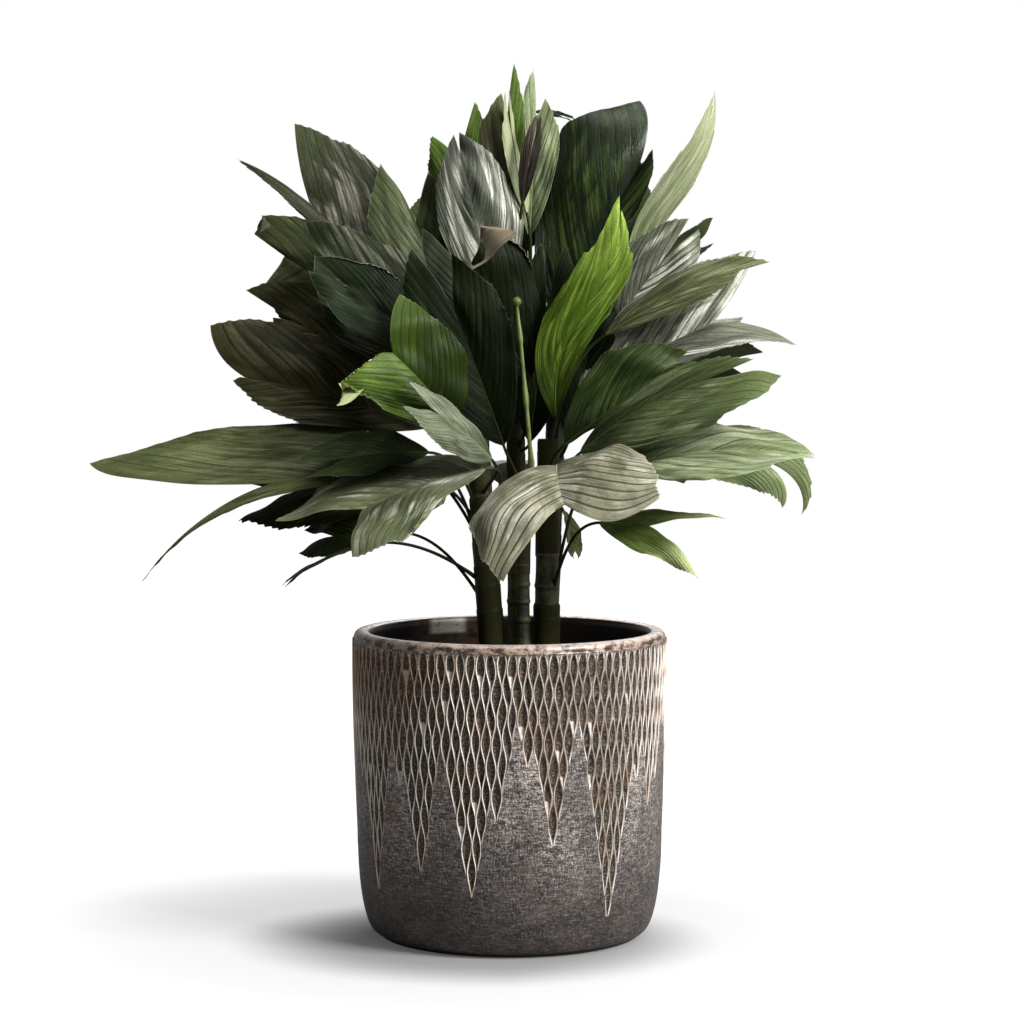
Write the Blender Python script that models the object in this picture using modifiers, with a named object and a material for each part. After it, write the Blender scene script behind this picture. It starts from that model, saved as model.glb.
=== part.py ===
# A potted metallic palm: six canes with pleated, forked leaves, rooted in soil in a plastic
# nursery pot that stands inside a carved ceramic cover pot. Origin: centre of the pot's
# underside. X to the right, Y to the back, Z up. Values ending in _MM are millimetres.
import math

import bmesh
import bpy
from mathutils import Matrix, Vector

MM = 0.001
GAP_MM = 0.3                    # clearance that pieces resting on each other keep

# Cover pot
POT_HEIGHT_MM = 214.0
POT_RADIUS_MM = 110.3           # widest, just under the lip
POT_WALL_MM = 12.0
HEEL_RADIUS_MM = 107.0          # where the rounded heel meets the wall
HEEL_HEIGHT_MM = 70.0
FOOT_RADIUS_MM = 92.0
FOOT_HEIGHT_MM = 2.5
FLOOR_MM = 14.0
HEEL_ROUNDNESS = 1.6            # exponent of the heel's curve
HEEL_STEPS = 8
LIP_INSET_MM = 0.9              # the lip's outer edge lies this far inside the widest ring
LIP_STEP_DEGREES = 15
SHOULDER_HEIGHT_MM = 195.0      # height of the widest ring
WAIST_MM = (108.6, 130.0)       # radius and height half way down the wall
# Inner corner: how far each point lies in from the wall and above the floor
COVE_MM = ((26, 0), (13, 6), (5, 24), (2, 76))
POT_STEPS = 48

# Nursery pot and soil
NURSERY_HEIGHT_MM = 168.0
NURSERY_TOP_RADIUS_MM = 84.0
NURSERY_BASE_RADIUS_MM = 64.0
NURSERY_WALL_MM = 1.6
NURSERY_RIM_MM = 5.0            # how far the rim stands out
NURSERY_BAND_MM = 12.0          # height of the rim's band
NURSERY_CHAMFER_MM = (2.0, 8.0)
NURSERY_STEPS = 40
SOIL_BELOW_RIM_MM = 12.0
SOIL_CROWN_MM = 4.0
SOIL_INSET_MM = 1.5             # the top of the root ball has shrunk away from the pot
DRAIN_RADIUS_MM = 7.0
PLANTING_DEPTH_MM = 45.0

# Leaf sheets
BLADE_MM = 1.0                  # thickness of a blade
RIB_MM = 2.8                    # thickness and width of a leaf stalk
RIB_TAPER = 0.45                # share of its thickness that the midrib loses by the notch
STALK_ROWS = 5
RIB_ROWS = 4                    # rows of faces along the midrib
BLADE_COLUMNS = 3               # columns of faces from midrib to margin
ARCH_STEPS = 6                  # steps that add up a blade's curve across its half

SOIL_TOP_MM = FLOOR_MM + GAP_MM + NURSERY_HEIGHT_MM - SOIL_BELOW_RIM_MM

# Canes: foot and head of the axis, radius at each end
CANES = {
    "cane_left": dict(foot=(-6, -14), head=(-24, -16, 360), radius=(10, 7)),
    "cane_right": dict(foot=(25, -10), head=(27, -8, 345), radius=(10.5, 7)),
    "cane_front": dict(foot=(9, -24), head=(10, -28, 325), radius=(5.5, 4)),
    "cane_back": dict(foot=(6, 14), head=(4, 18, 400), radius=(8, 5.5)),
    "cane_back_left": dict(foot=(-8, 34), head=(-24, 40, 385), radius=(8, 6)),
    "cane_back_right": dict(foot=(24, 34), head=(34, 40, 390), radius=(8, 6)),
}

# Flower spike: a thin stalk that leaves the front cane and ends in a small knob
SPIKE_PATH = ((10, -28, 300), (15, -44, 322), (13, -58, 355), (9, -60, 400), (5, -60, 440))
SPIKE_RADII_MM = (2.0, 1.9, 1.7, 1.5, 1.3)
SPIKE_KNOB_MM = 3.2
# Knob: height above the stalk's end, and share of the knob's radius
KNOB_ROWS = ((1.5, 0.8), (3.5, 1.0), (5.5, 0.8), (6.5, 0.35))
SPIKE_SIDES = 8

CANE_ROWS = 4
CANE_SIDES = 12
MIDLINE_SAMPLES = 40

# What a leaf has unless its own entry says otherwise. Pairs are (left, right), seen from the
# leaf's foot with its upper side up. Stations along the blade are fractions of its length.
LEAF_DEFAULTS = dict(
    roll=0,                     # turn about the line from base to reach, degrees
    width=(50, 50),             # midrib to the widest corner
    shoulder=(0.5, 0.5),        # station of the widest corner
    split=0.68,                 # station where the two lobes part
    tip=(35, 35),               # how far each tip stands out sideways
    length=(1.0, 1.0),          # station of each tip
    fold=(20, 20),              # lift of each half at the midrib, degrees
    arch=(30, 30),              # how much each half curves down again, degrees
    drop=(0, 0),                # droop of each tip
    turn=(0, 0),                # twist of each lobe, degrees
    bend=30,                    # droop of the midrib from base to tip, degrees
    late=1.2,                   # above 1, the midrib droops more towards its tip
    twist=0,                    # twist of the blade from base to tip, degrees
)

LEAVES = {
    # Front, lowest first
    "leaf_front_silver": dict(cane="cane_front", height=278, base=(32, -58, 332), reach=(44, -150, 288),
                              roll=28, width=(60, 66), tip=(60, 64), fold=(10, 30), arch=(20, 60),
                              bend=45, drop=(0, 10)),
    "leaf_front_left_pale": dict(cane="cane_left", height=275, base=(-16, -66, 330),
                                 reach=(-133, -102, 282), roll=-15, width=(50, 46), tip=(46, 38),
                                 length=(0.93, 1.05)),
    "leaf_small_grey": dict(cane="cane_left", height=305, base=(-12, -62, 336), reach=(-70, -98, 380),
                            roll=-60, width=(26, 14), tip=(10, 10)),
    "leaf_bright_young": dict(cane="cane_left", height=335, base=(-38, -64, 362),
                              reach=(-95, -80, 423), roll=-70, width=(34, 36), shoulder=(0.5, 0.35),
                              split=0.75, tip=(42, 42), fold=(10, 30)),
    "leaf_right_ribbed": dict(cane="cane_right", height=290, base=(62, -66, 328),
                              reach=(205, -85, 340), roll=30, width=(30, 42), tip=(4, 8)),
    "leaf_right_green": dict(cane="cane_right", height=302, base=(48, -52, 340),
                             reach=(180, -65, 400), roll=50, width=(14, 42), tip=(6, 12), fold=(60, 20),
                             length=(0.9, 1.0), bend=55),
    "leaf_right_folded": dict(cane="cane_right", height=318, base=(38, -40, 345),
                              reach=(124, -36, 405), roll=68, width=(35, 14), tip=(4, 4), fold=(15, 60)),
    "leaf_low_right": dict(cane="cane_right", height=230, base=(62, -45, 292),
                           reach=(138, -75, 281), roll=45, width=(14, 26), split=0.45, tip=(28, 34)),
    # Left
    "leaf_left_long": dict(cane="cane_left", height=258, base=(-60, -20, 332),
                           reach=(-268, -44, 295), roll=-45, width=(18, 44), split=0.62,
                           tip=(44, 45), length=(1.0, 1.05), drop=(15, 0)),
    "leaf_left_brown": dict(cane="cane_back_left", height=318, base=(-60, 5, 355),
                            reach=(-190, -5, 405), roll=-60, width=(32, 46), split=0.72, tip=(14, 28),
                            length=(0.85, 1.1)),
    "leaf_left_dark": dict(cane="cane_back_left", height=335, base=(-62, 20, 378),
                           reach=(-188, 22, 440), roll=-70, width=(36, 36), tip=(8, 10)),
    "leaf_left_upper_dark": dict(cane="cane_back_left", height=350, base=(-60, 37, 400),
                                 reach=(-178, 48, 487), roll=-68, width=(42, 42), tip=(18, 8),
                                 length=(0.95, 1.08), fold=(5, 20)),
    "leaf_left_upright": dict(cane="cane_back_left", height=368, base=(-58, 60, 425),
                              reach=(-174, 76, 553), roll=-65, width=(20, 46), tip=(22, 25)),
    "leaf_left_streaked": dict(cane="cane_back_left", height=343, base=(-42, 0, 390),
                               reach=(-138, -2, 492), roll=-70, width=(38, 40), tip=(5, 8)),
    "leaf_left_white_edge": dict(cane="cane_left", height=345, base=(-42, -25, 375),
                                 reach=(-130, -28, 467), roll=-65, width=(36, 34), tip=(4, 6)),
    "leaf_left_green_under": dict(cane="cane_left", height=290, base=(-55, -42, 340),
                                  reach=(-140, -58, 328), roll=-35, width=(22, 24), tip=(8, 8)),
    "leaf_left_toothed_low": dict(cane="cane_back_left", height=275, base=(-60, 15, 318),
                                  reach=(-188, 10, 300), roll=-45, width=(36, 36), tip=(20, 20)),
    "leaf_left_low_small": dict(cane="cane_left", height=228, base=(-75, 0, 282),
                                reach=(-145, 12, 272), roll=-30, width=(28, 28), tip=(15, 15)),
    "leaf_left_thread": dict(cane="cane_left", height=245, base=(-98, -35, 276),
                             reach=(-154, -45, 248), width=(8, 8), tip=(5, 5)),
    # Centre and crown
    "leaf_centre_great": dict(cane="cane_front", height=310, base=(-4, -46, 345),
                              reach=(-54, -42, 480), roll=-80, width=(40, 32), tip=(12, 12),
                              length=(1.03, 0.93)),
    "leaf_centre_curled": dict(cane="cane_back", height=330, base=(12, -14, 390),
                               reach=(-4, -4, 482), roll=-60, width=(32, 36), tip=(10, 22)),
    "leaf_bright_upright": dict(cane="cane_right", height=338, base=(32, -22, 362),
                                reach=(76, -20, 516), roll=80, width=(27, 20), shoulder=(0.4, 0.5),
                                split=0.7, tip=(2, 6), length=(1.0, 0.94), fold=(20, 5)),
    "leaf_mid_left_sheen": dict(cane="cane_back", height=345, base=(-35, 18, 410),
                                reach=(-82, 22, 532), roll=-75, width=(36, 40), tip=(8, 20),
                                length=(1.02, 0.88)),
    "leaf_top_left_silver": dict(cane="cane_back", height=358, base=(-10, 8, 430),
                                 reach=(-38, 12, 560), roll=-75, width=(26, 30), tip=(3, 8)),
    "leaf_top_bright": dict(cane="cane_back", height=372, base=(-20, 42, 450),
                            reach=(-40, 50, 582), roll=-70, width=(24, 24), tip=(18, 16),
                            length=(0.85, 1.0)),
    "leaf_crown_left": dict(cane="cane_back", height=384, base=(-4, 24, 490),
                            reach=(-1, 26, 608), roll=55, width=(15, 15), tip=(7, 7)),
    "leaf_crown_right": dict(cane="cane_back_right", height=383, base=(14, 34, 490),
                             reach=(22, 38, 607), roll=60, width=(16, 16), tip=(7, 8)),
    "leaf_top_glossy": dict(cane="cane_back_right", height=365, base=(34, 58, 430),
                            reach=(108, 62, 567), roll=80, width=(56, 18), split=0.8, tip=(33, 8),
                            length=(1.0, 0.88), fold=(10, 60)),
    "leaf_top_right_pale": dict(cane="cane_back_right", height=374, base=(86, 68, 450),
                                reach=(147, 70, 594), roll=70, width=(18, 18), tip=(2, 2), split=0.9,
                                twist=30),
    # Right
    "leaf_right_upper_sheen": dict(cane="cane_back_right", height=350, base=(65, 32, 415),
                                   reach=(130, 34, 498), roll=75, width=(28, 28), tip=(5, 5), fold=(15, 0)),
    "leaf_right_yellow_green": dict(cane="cane_right", height=345, base=(66, -8, 420),
                                    reach=(172, -16, 468), roll=55, width=(30, 28), tip=(8, 8),
                                    length=(1.08, 0.86)),
    "leaf_right_silver": dict(cane="cane_back_right", height=330, base=(48, 10, 380),
                              reach=(188, 6, 447), roll=70, width=(46, 22), tip=(37, 36),
                              fold=(10, 60)),
    "leaf_right_hanging": dict(cane="cane_right", height=222, base=(80, 10, 335),
                               reach=(197, -5, 300), roll=20, width=(18, 18), tip=(8, 8), bend=120,
                               late=4),
    "leaf_low_back": dict(cane="cane_back_right", height=252, base=(38, 24, 296), reach=(46, 20, 262),
                          width=(12, 12), tip=(4, 4)),
    # Back
    "leaf_back_low_right": dict(cane="cane_back_right", height=298, base=(70, 55, 342),
                                reach=(190, 95, 330)),
    "leaf_back_low_mid_right": dict(cane="cane_back_right", height=276, base=(50, 80, 320),
                                    reach=(100, 200, 300)),
    "leaf_back_low_mid_left": dict(cane="cane_back_left", height=290, base=(-20, 82, 320),
                                   reach=(-40, 215, 300)),
    "leaf_back_low_left": dict(cane="cane_back_left", height=262, base=(-65, 65, 322),
                               reach=(-165, 140, 310)),
    "leaf_back_right": dict(cane="cane_back_right", height=315, base=(62, 72, 380),
                            reach=(150, 145, 430)),
    "leaf_back_mid": dict(cane="cane_back_right", height=342, base=(25, 85, 395), reach=(45, 200, 440)),
    "leaf_back_left": dict(cane="cane_back_left", height=305, base=(-50, 78, 385),
                           reach=(-120, 160, 435)),
    "leaf_back_high_right": dict(cane="cane_back_right", height=355, base=(50, 92, 440),
                                 reach=(78, 150, 548), width=(42, 42), tip=(20, 20)),
    "leaf_back_high_left": dict(cane="cane_back_left", height=358, base=(-32, 88, 430),
                                reach=(-45, 145, 520), width=(40, 40), tip=(20, 20)),
    "leaf_back_top": dict(cane="cane_back_right", height=378, base=(12, 78, 480), reach=(2, 118, 575),
                          width=(30, 32), tip=(14, 14)),
    "leaf_back_centre": dict(cane="cane_back_left", height=325, base=(-18, 95, 365),
                             reach=(-28, 195, 372), bend=50),
    "leaf_back_side_right": dict(cane="cane_back_right", height=332, base=(82, 52, 385),
                                 reach=(178, 78, 395), roll=-30, width=(40, 40), tip=(20, 20), bend=45),
    "leaf_back_side_left": dict(cane="cane_back_left", height=328, base=(-82, 62, 372),
                                reach=(-178, 88, 375), roll=30, width=(38, 38), tip=(20, 20), bend=45),
    "leaf_back_upper_left": dict(cane="cane_back_left", height=345, base=(-62, 90, 440),
                                 reach=(-128, 128, 500), roll=35, width=(36, 36), tip=(16, 16)),
    "leaf_back_upper_right": dict(cane="cane_back_right", height=360, base=(88, 78, 430),
                                  reach=(152, 112, 492), roll=-40, width=(34, 34), tip=(16, 16)),
}


def material(name, colour, roughness, metallic=0.0):
    made = bpy.data.materials.new(name)
    made.use_nodes = True
    shader = made.node_tree.nodes["Principled BSDF"]
    shader.inputs["Base Color"].default_value = (*colour, 1.0)
    shader.inputs["Roughness"].default_value = roughness
    shader.inputs["Metallic"].default_value = metallic
    return made


def add_object(name, mesh, surface, collection):
    made = bpy.data.objects.new(name, mesh)
    if surface:
        mesh.materials.append(surface)
    collection.objects.link(made)
    return made


def mm(values):
    return Vector(values) * MM


# ---------------------------------------------------------------- turned pieces

def arc(centre, radius, first, last):
    """Points of an arc between two angles in degrees, both ends included."""
    steps = round(abs(last - first) / LIP_STEP_DEGREES)
    angles = [math.radians(first + (last - first) * step / steps) for step in range(steps + 1)]
    return [(centre[0] + radius * math.cos(angle), centre[1] + radius * math.sin(angle)) for angle in angles]


def pot_outline():
    """Half section of the cover pot, from the lip down the outside and back up the inside."""
    lip = POT_WALL_MM / 2
    lip_centre = (POT_RADIUS_MM - LIP_INSET_MM - lip, POT_HEIGHT_MM - lip)
    points = arc(lip_centre, lip, 90, 0)
    points += [(POT_RADIUS_MM, SHOULDER_HEIGHT_MM), WAIST_MM]
    for step in range(HEEL_STEPS + 1):
        height = HEEL_HEIGHT_MM * (1 - step / HEEL_STEPS) ** 1.5
        depth = (1 - height / HEEL_HEIGHT_MM) ** HEEL_ROUNDNESS
        inset = (HEEL_RADIUS_MM - FOOT_RADIUS_MM - 1.5) * (1 - (1 - depth) ** (1 / HEEL_ROUNDNESS))
        points.append((HEEL_RADIUS_MM - inset, FOOT_HEIGHT_MM + height))
    points += [(FOOT_RADIUS_MM, FOOT_HEIGHT_MM), (FOOT_RADIUS_MM, 0.0), (0.0, 0.0), (0.0, FLOOR_MM)]
    inner = POT_RADIUS_MM - POT_WALL_MM
    points += [(inner - inward, FLOOR_MM + up) for inward, up in COVE_MM]
    return points + arc(lip_centre, lip, 180, 90 + LIP_STEP_DEGREES)


def turned(name, outline, surface, collection, closed=True, steps=POT_STEPS):
    """Turns a half section given in millimetres about Z."""
    form = bmesh.new()
    ring = [form.verts.new(mm((radius, 0, height))) for radius, height in outline]
    for a, b in zip(ring, ring[1:] + ([ring[0]] if closed else [])):
        if a.co.x > 0 or b.co.x > 0:
            form.edges.new((a, b))
    mesh = bpy.data.meshes.new(name)
    form.to_mesh(mesh)
    form.free()
    made = add_object(name, mesh, surface, collection)
    screw = made.modifiers.new("turn", "SCREW")
    screw.steps = screw.render_steps = steps
    screw.use_merge_vertices = True
    screw.merge_threshold = 0.00001
    screw.use_smooth_shade = True
    return made


def nursery_outline():
    base = FLOOR_MM + GAP_MM
    top = base + NURSERY_HEIGHT_MM
    wall, rim = NURSERY_WALL_MM, NURSERY_TOP_RADIUS_MM
    waist = rim - NURSERY_RIM_MM
    under_band = top - NURSERY_BAND_MM - 1
    out, up = NURSERY_CHAMFER_MM
    return [
        (rim, top), (rim, top - NURSERY_BAND_MM), (waist, under_band),
        (NURSERY_BASE_RADIUS_MM + out, base + up), (NURSERY_BASE_RADIUS_MM, base),
        (DRAIN_RADIUS_MM, base), (DRAIN_RADIUS_MM, base + wall),
        (NURSERY_BASE_RADIUS_MM - wall, base + wall), (NURSERY_BASE_RADIUS_MM + out - wall, base + up),
        (waist - wall, under_band), (rim - wall - 0.6, under_band + 2), (rim - wall, top),
    ]


def soil_outline():
    """The root ball fills the nursery pot and is a little crowned."""
    base = FLOOR_MM + GAP_MM + NURSERY_WALL_MM + GAP_MM
    top_edge = NURSERY_TOP_RADIUS_MM - NURSERY_RIM_MM - NURSERY_WALL_MM - 2 * GAP_MM - SOIL_INSET_MM
    low = NURSERY_BASE_RADIUS_MM - NURSERY_WALL_MM - 2 * GAP_MM
    out, up = NURSERY_CHAMFER_MM
    return [
        (0.0, SOIL_TOP_MM), (top_edge * 0.4, SOIL_TOP_MM - SOIL_CROWN_MM / 4),
        (top_edge * 0.77, SOIL_TOP_MM - SOIL_CROWN_MM * 0.7), (top_edge, SOIL_TOP_MM - SOIL_CROWN_MM * 1.25),
        (top_edge, SOIL_TOP_MM - SOIL_CROWN_MM * 3.5), (low + out, base + up), (low, base), (0.0, base),
    ]


# ---------------------------------------------------------------- canes

def cane_foot(cane):
    return mm((*cane["foot"], SOIL_TOP_MM - PLANTING_DEPTH_MM))


def cane_axis(cane, height_mm):
    """Point of a cane's axis at a height."""
    foot, head = cane_foot(cane), mm(cane["head"])
    return foot.lerp(head, (height_mm * MM - foot.z) / (head.z - foot.z))


def tube_mesh(name, points, radii_mm, sides):
    """A closed round tube along a path."""
    path = bpy.data.curves.new(name, "CURVE")
    path.dimensions = "3D"
    path.bevel_depth = MM
    path.bevel_resolution = sides // 2 - 2
    path.use_fill_caps = True
    spline = path.splines.new("POLY")
    spline.points.add(len(points) - 1)
    for point, place, radius in zip(spline.points, points, radii_mm):
        point.co = (*place, 1.0)
        point.radius = radius
    holder = bpy.data.objects.new(name + "_path", path)
    bpy.context.scene.collection.objects.link(holder)
    bpy.context.view_layer.update()
    evaluated = holder.evaluated_get(bpy.context.evaluated_depsgraph_get())
    mesh = bpy.data.meshes.new_from_object(evaluated)
    bpy.data.objects.remove(holder)
    form = bmesh.new()
    form.from_mesh(mesh)
    bmesh.ops.remove_doubles(form, verts=form.verts, dist=0.00001)
    bmesh.ops.recalc_face_normals(form, faces=form.faces)
    form.to_mesh(mesh)
    form.free()
    mesh.name = name
    mesh.shade_smooth()
    return mesh


def cane_mesh(name, cane, extra_mm=0.0):
    """A tapering round stem, thicker by extra_mm for a cutter."""
    foot, head = cane_foot(cane), mm(cane["head"])
    along = (head - foot).normalized()
    start, end = foot - along * extra_mm * MM, head + along * extra_mm * MM
    shares = [row / CANE_ROWS for row in range(CANE_ROWS + 1)]
    low, high = cane["radius"]
    points = [start.lerp(end, share) for share in shares]
    radii = [low + (high - low) * share + extra_mm for share in shares]
    return tube_mesh(name, points, radii, CANE_SIDES)


def spike_mesh(name):
    """The stalk's last stretch swells into the knob."""
    points = [mm(point) for point in SPIKE_PATH]
    radii = list(SPIKE_RADII_MM)
    for lift, share in KNOB_ROWS:
        points.append(mm(SPIKE_PATH[-1]) + mm((0, 0, lift)))
        radii.append(SPIKE_KNOB_MM * share)
    return tube_mesh(name, points, radii, SPIKE_SIDES)


def cutter(name, mesh, collection):
    made = add_object(name, mesh, None, collection)
    made.hide_render = True
    made.display_type = "WIRE"
    return made


def cut(target, tool, name):
    boolean = target.modifiers.new(name, "BOOLEAN")
    boolean.operation = "DIFFERENCE"
    boolean.solver = "EXACT"
    boolean.object = tool


# ---------------------------------------------------------------- leaves

def turn_about(vector, axis, degrees):
    return Matrix.Rotation(math.radians(degrees), 3, axis) @ vector


def midline(leaf, samples=MIDLINE_SAMPLES):
    """The blade's middle from base to reach: place, forward, side and upper direction at each
    station. It droops evenly, and its ends lie on the base and reach points."""
    base, reach = mm(leaf["base"]), mm(leaf["reach"])
    chord = reach - base
    ahead = chord.normalized()
    upper = (Vector((0, 0, 1)) - ahead * ahead.z).normalized()
    upper = turn_about(upper, ahead, leaf["roll"])
    side = ahead.cross(upper)
    flat = [Vector((0.0, 0.0))]
    angles = []
    for step in range(samples + 1):
        angle = -math.radians(leaf["bend"]) * (step / samples) ** leaf["late"]
        angles.append(angle)
        if step:
            middle = (angle + angles[-2]) / 2
            flat.append(flat[-1] + Vector((math.cos(middle), math.sin(middle))) / samples)
    lift = -math.atan2(flat[-1].y, flat[-1].x)
    scale = chord.length / flat[-1].length
    stations = []
    for step, (spot, angle) in enumerate(zip(flat, angles)):
        x = (spot.x * math.cos(lift) - spot.y * math.sin(lift)) * scale
        y = (spot.x * math.sin(lift) + spot.y * math.cos(lift)) * scale
        forward = ahead * math.cos(angle + lift) + upper * math.sin(angle + lift)
        over = upper * math.cos(angle + lift) - ahead * math.sin(angle + lift)
        spin = leaf["twist"] * step / samples
        stations.append((base + ahead * x + upper * y, forward,
                         turn_about(side, forward, spin), turn_about(over, forward, spin)))
    return stations


def at_station(stations, share):
    """Reads the midline between its stations, and straight on past its end."""
    place = share * (len(stations) - 1)
    index = max(0, min(int(place), len(stations) - 2))
    rest = place - index
    here, there = stations[index], stations[index + 1]
    directions = (a.lerp(b, rest).normalized() for a, b in zip(here[1:], there[1:]))
    return (here[0].lerp(there[0], rest), *directions)


def bezier(a, b, c, share):
    return a * (1 - share) ** 2 + b * 2 * share * (1 - share) + c * share ** 2


def flat_half(leaf, half, along, across):
    """Flat place (sideways in mm, station) on half a blade. along runs with the midrib and the
    margin, across runs out along the nerves."""
    width, shoulder = leaf["width"][half], leaf["shoulder"][half]
    tip, length, split = leaf["tip"][half], leaf["length"][half], leaf["split"]
    root, notch = Vector((0, 0)), Vector((0, split))
    corner, point = Vector((width, shoulder)), Vector((tip, length))
    rib = root.lerp(notch, along)
    margin = bezier(corner, Vector((width * 1.1, shoulder + (length - shoulder) * 0.5)), point, along)
    first = bezier(root, Vector((width * 0.7, shoulder * 0.3)), corner, across)
    last = bezier(notch, Vector((tip * 0.35, split + (length - split) * 0.5)), point, across)
    corners = (root.lerp(notch, along) * (1 - across) + corner.lerp(point, along) * across)
    return rib * (1 - across) + margin * across + first * (1 - along) + last * along - corners


def blade_point(leaf, stations, half, along, across):
    """The flat place folded, arched, drooped and twisted about the midline."""
    sideways, station = flat_half(leaf, half, along, across)
    width, split, tip = leaf["width"][half], leaf["split"], leaf["tip"][half]
    fold, arch = math.radians(leaf["fold"][half]), math.radians(leaf["arch"][half])
    end = max(leaf["length"][half], split + 0.01)
    past = max(0.0, (station - split) / (end - split))
    out, rise = 0.0, 0.0
    for step in range(ARCH_STEPS):
        angle = fold - arch * sideways / width * (step + 0.5) / ARCH_STEPS
        out += math.cos(angle) * sideways / ARCH_STEPS
        rise += math.sin(angle) * sideways / ARCH_STEPS
    lobe_middle = tip * past + width * (1 - past) / 2
    rise += (sideways - lobe_middle) * math.sin(math.radians(leaf["turn"][half])) * past
    rise -= leaf["drop"][half] * past ** 1.6
    place, _forward, side, over = at_station(stations, station)
    sign = 1 if half else -1
    return place + side * sign * (out + RIB_MM / 2) * MM + over * rise * MM


def stalk_points(leaf, stations):
    """The stalk's middle, from the cane's axis to the blade, with its sideways direction."""
    start = cane_axis(CANES[leaf["cane"]], leaf["height"])
    end, forward, side, _over = stations[0]
    reach = (end - start).length
    straight = (end - start).normalized()
    leave = (straight * 0.75 + Vector((0, 0, 0.35))).normalized()
    level = straight.cross(Vector((0, 0, 1))).normalized()
    if level.dot(side) < 0:
        level = -level
    rows = []
    for row in range(STALK_ROWS + 1):
        t = row / STALK_ROWS
        place = (start * (2 * t ** 3 - 3 * t ** 2 + 1) + leave * reach * (t ** 3 - 2 * t ** 2 + t)
                 + end * (3 * t ** 2 - 2 * t ** 3) + forward * reach * (t ** 3 - t ** 2))
        tangent = (start * (6 * t ** 2 - 6 * t) + leave * reach * (3 * t ** 2 - 4 * t + 1)
                   + end * (6 * t - 6 * t ** 2) + forward * reach * (3 * t ** 2 - 2 * t))
        tangent.normalize()
        across = level.lerp(side, t)
        rows.append((place, (across - tangent * across.dot(tangent)).normalized()))
    return rows


def leaf_mesh(name, leaf):
    """An open sheet: stalk and midrib as a narrow strip, with half a blade on each side."""
    stations = midline(leaf)
    form = bmesh.new()
    weights = form.verts.layers.deform.verify()
    half_rib = RIB_MM / 2 * MM

    def vertex(place, weight):
        made = form.verts.new(place)
        made[weights][0] = weight
        return made

    rows = stalk_points(leaf, stations)
    for row in range(1, RIB_ROWS + 1):
        place, _forward, side, _over = at_station(stations, leaf["split"] * row / RIB_ROWS)
        rows.append((place, side))
    strip = []
    for index, (place, side) in enumerate(rows):
        slim = 1.0 - RIB_TAPER * max(0, index - STALK_ROWS) / RIB_ROWS
        strip.append([vertex(place + side * half_rib * offset, slim) for offset in (-1, 0, 1)])
    for low, high in zip(strip, strip[1:]):
        for column in (0, 1):
            form.faces.new((low[column], low[column + 1], high[column + 1], high[column]))
    thin = BLADE_MM / RIB_MM
    for half in (0, 1):
        grid = []
        for row in range(RIB_ROWS + 1):
            line = [strip[STALK_ROWS + row][half * 2]]
            for column in range(1, BLADE_COLUMNS + 1):
                place = blade_point(leaf, stations, half, row / RIB_ROWS, column / BLADE_COLUMNS)
                line.append(vertex(place, thin))
            grid.append(line)
        for low, high in zip(grid, grid[1:]):
            for column in range(BLADE_COLUMNS):
                corners = (low[column], low[column + 1], high[column + 1], high[column])
                form.faces.new(corners if half else corners[::-1])
    mesh = bpy.data.meshes.new(name)
    form.to_mesh(mesh)
    form.free()
    mesh.shade_smooth()
    return mesh


def build():
    for old in list(bpy.data.objects):
        bpy.data.objects.remove(old)
    plant = bpy.data.collections.new("potted_metallic_palm")
    tools = bpy.data.collections.new("cutters")
    bpy.context.scene.collection.children.link(plant)
    bpy.context.scene.collection.children.link(tools)

    glaze = material("bronze_glaze", (0.10, 0.08, 0.07), 0.35, 0.5)
    plastic = material("nursery_plastic", (0.02, 0.02, 0.02), 0.5)
    earth = material("potting_soil", (0.05, 0.03, 0.02), 0.95)
    stem = material("green_cane", (0.05, 0.08, 0.03), 0.5)
    foliage = material("metallic_leaf", (0.03, 0.07, 0.04), 0.4)

    turned("pot", pot_outline(), glaze, plant)
    turned("nursery_pot", nursery_outline(), plastic, plant, steps=NURSERY_STEPS)
    soil = turned("soil", soil_outline(), earth, plant, closed=False, steps=NURSERY_STEPS)

    holes = {}
    for name, cane in CANES.items():
        add_object(name, cane_mesh(name, cane), stem, plant)
        holes[name] = cutter(name + "_hole", cane_mesh(name + "_hole", cane, GAP_MM), tools)
        cut(soil, holes[name], name)

    spike = add_object("flower_spike", spike_mesh("flower_spike"), stem, plant)
    cut(spike, holes["cane_front"], "seat")

    for name, changes in LEAVES.items():
        leaf = {**LEAF_DEFAULTS, **changes}
        made = add_object(name, leaf_mesh(name, leaf), foliage, plant)
        made.vertex_groups.new(name="thickness")
        sheet = made.modifiers.new("thickness", "SOLIDIFY")
        sheet.thickness = RIB_MM * MM
        sheet.offset = 0.0
        sheet.vertex_group = "thickness"
        cut(made, holes[leaf["cane"]], "seat")


build()
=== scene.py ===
import math

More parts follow.
